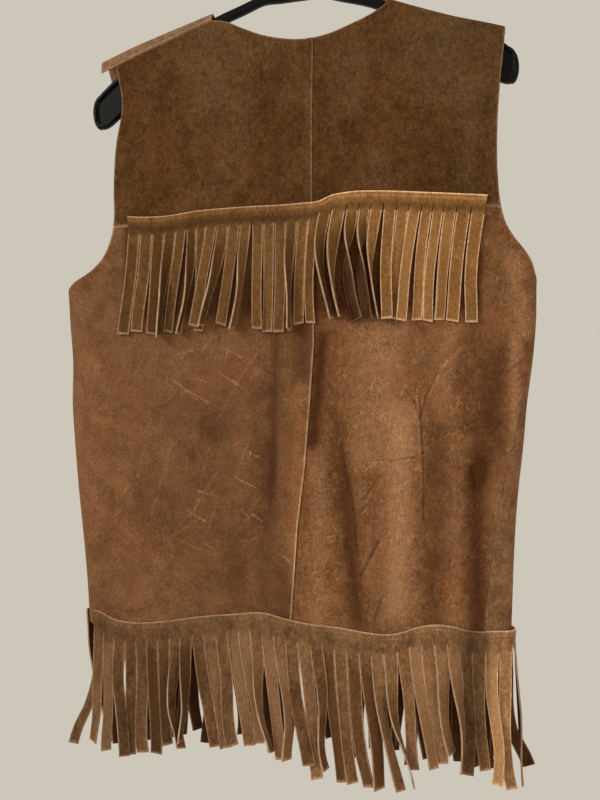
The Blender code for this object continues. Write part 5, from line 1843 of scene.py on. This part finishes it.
def make_studio():
    """Pale floor and surround, soft lights."""
    surround = bpy.data.worlds.new("pale surround")
    surround.use_nodes = True
    surround.node_tree.nodes["Background"].inputs["Color"].default_value = (*SURROUND, 1.0)
    surround.node_tree.nodes["Background"].inputs["Strength"].default_value = 1.0
    bpy.context.scene.world = surround
    bpy.context.scene.view_settings.view_transform = "Standard"
    for name, place, size, power, colour in LIGHTS:
        soft_light(name, place, size, power, colour)
    finish = Finish("pale floor")
    speck = finish.noise(**FLOOR_NOISE)
    colour = finish.mix(speck.soft(*FLOOR_TONE_RANGE), FLOOR_DARK, FLOOR_LIGHT)
    finish.wear(colour, FLOOR_ROUGHNESS, speck, FLOOR_DEPTH)
    corners = [(x * FLOOR_HALF, y * FLOOR_HALF, FLOOR_HEIGHT)
               for x, y in ((-1, -1), (1, -1), (1, 1), (-1, 1))]
    piece("pale_floor", corners, [(0, 1, 2, 3)], [0], [finish.material])


def make_camera():
    """Level camera at the photograph's viewing angle."""
    lens = bpy.data.cameras.new("camera")
    lens.sensor_fit = "VERTICAL"
    lens.sensor_height = SENSOR_HEIGHT
    lens.lens = SENSOR_HEIGHT * VIEW_FOCAL
    made = bpy.data.objects.new("camera", lens)
    angle = radians(VIEW_AZIMUTH)
    made.location = Vector(VIEW_TARGET) + Vector((sin(angle), -cos(angle), 0.0)) * VIEW_DISTANCE
    bpy.context.scene.collection.objects.link(made)
    look_at(made, VIEW_TARGET)
    bpy.context.scene.camera = made


def main():
    make_camera()
    make_studio()
    inside = brushed_suede("flesh side", FLESH_DARK, FLESH_LIGHT)
    edge = raw_edge("raw edge", EDGE_DARK, EDGE_LIGHT)
    yoke = brushed_suede("brushed yoke suede", YOKE_DARK, YOKE_LIGHT, marks=YOKE_SHADING_AND_RUB_MARKS, nap_level=0.28,
                         rub=0.30, warmth=0.15, rubbed_and_lit=YOKE_RUBBED_AND_LIT)
    waxed = waxed_suede()
    velvet = brushed_suede("velvety suede", VELVET_DARK, VELVET_LIGHT, marks=VELVET_SHADING_MARKS,
                           lines=VELVET_CREASE_SHADING, vein_level=0.9, shaded=True)
    fronts = {hand: brushed_suede(hand + " front suede", dark, light, nap_level=0.22)
              for hand, (dark, light) in FRONTS.items()}
    thread = sewing_thread()
    yoke_strands = fringe_suede("yoke fringe suede", YOKE_FRINGE_DARK, YOKE_FRINGE_LIGHT, root_shade=0.38,
                                strip_top_light=0.52, paler=(0.01, -0.06, 0.92), outline=0.62)
    hem_strands = fringe_suede("hem fringe suede", HEM_FRINGE_DARK, HEM_FRINGE_LIGHT, root_shade=0.10,
                               strip_top_light=0.24, paler=(0.16, -0.12, 0.58), outline=0.42,
                               turned_away=(-0.1775, 0.0130))
    # Backs of strands and strips: suede darkened as painted shade
    underside = brushed_suede("strand underside in painted shade", SHADED_UNDERSIDE_DARK, SHADED_UNDERSIDE_LIGHT, rub=0.2)
    strand_edge = raw_edge("strand edge", STRAND_EDGE_DARK, STRAND_EDGE_LIGHT)
    for hand, sign in (("left", 1), ("right", -1)):
        slot = "waxed_suede" if hand == "left" else "velvet_suede"
        face = waxed if hand == "left" else velvet
        make_yoke(hand, sign, [yoke, inside, edge])
        make_lower_back(hand, sign, [face, inside, edge])
        make_front(hand, sign, [fronts[hand], inside, edge])
    yoke_strip = make_yoke_fringe([yoke_strands, underside, strand_edge])
    hem_finishes = [hem_strands, underside, strand_edge]
    hem_back = make_hem_fringe_back(hem_finishes)
    hem_left = make_hem_fringe_front("left", FRONT_LEFT_STRIP, hem_finishes)
    hem_right = make_hem_fringe_front("right", FRONT_RIGHT_STRIP, hem_finishes)
    yoke_thread, hem_thread = sew(thread)
    plastic = moulded_plastic()
    make_hanger(plastic)
    for slot in bpy.data.objects["hanger_hook"].material_slots:
        slot.material = plastic


main()
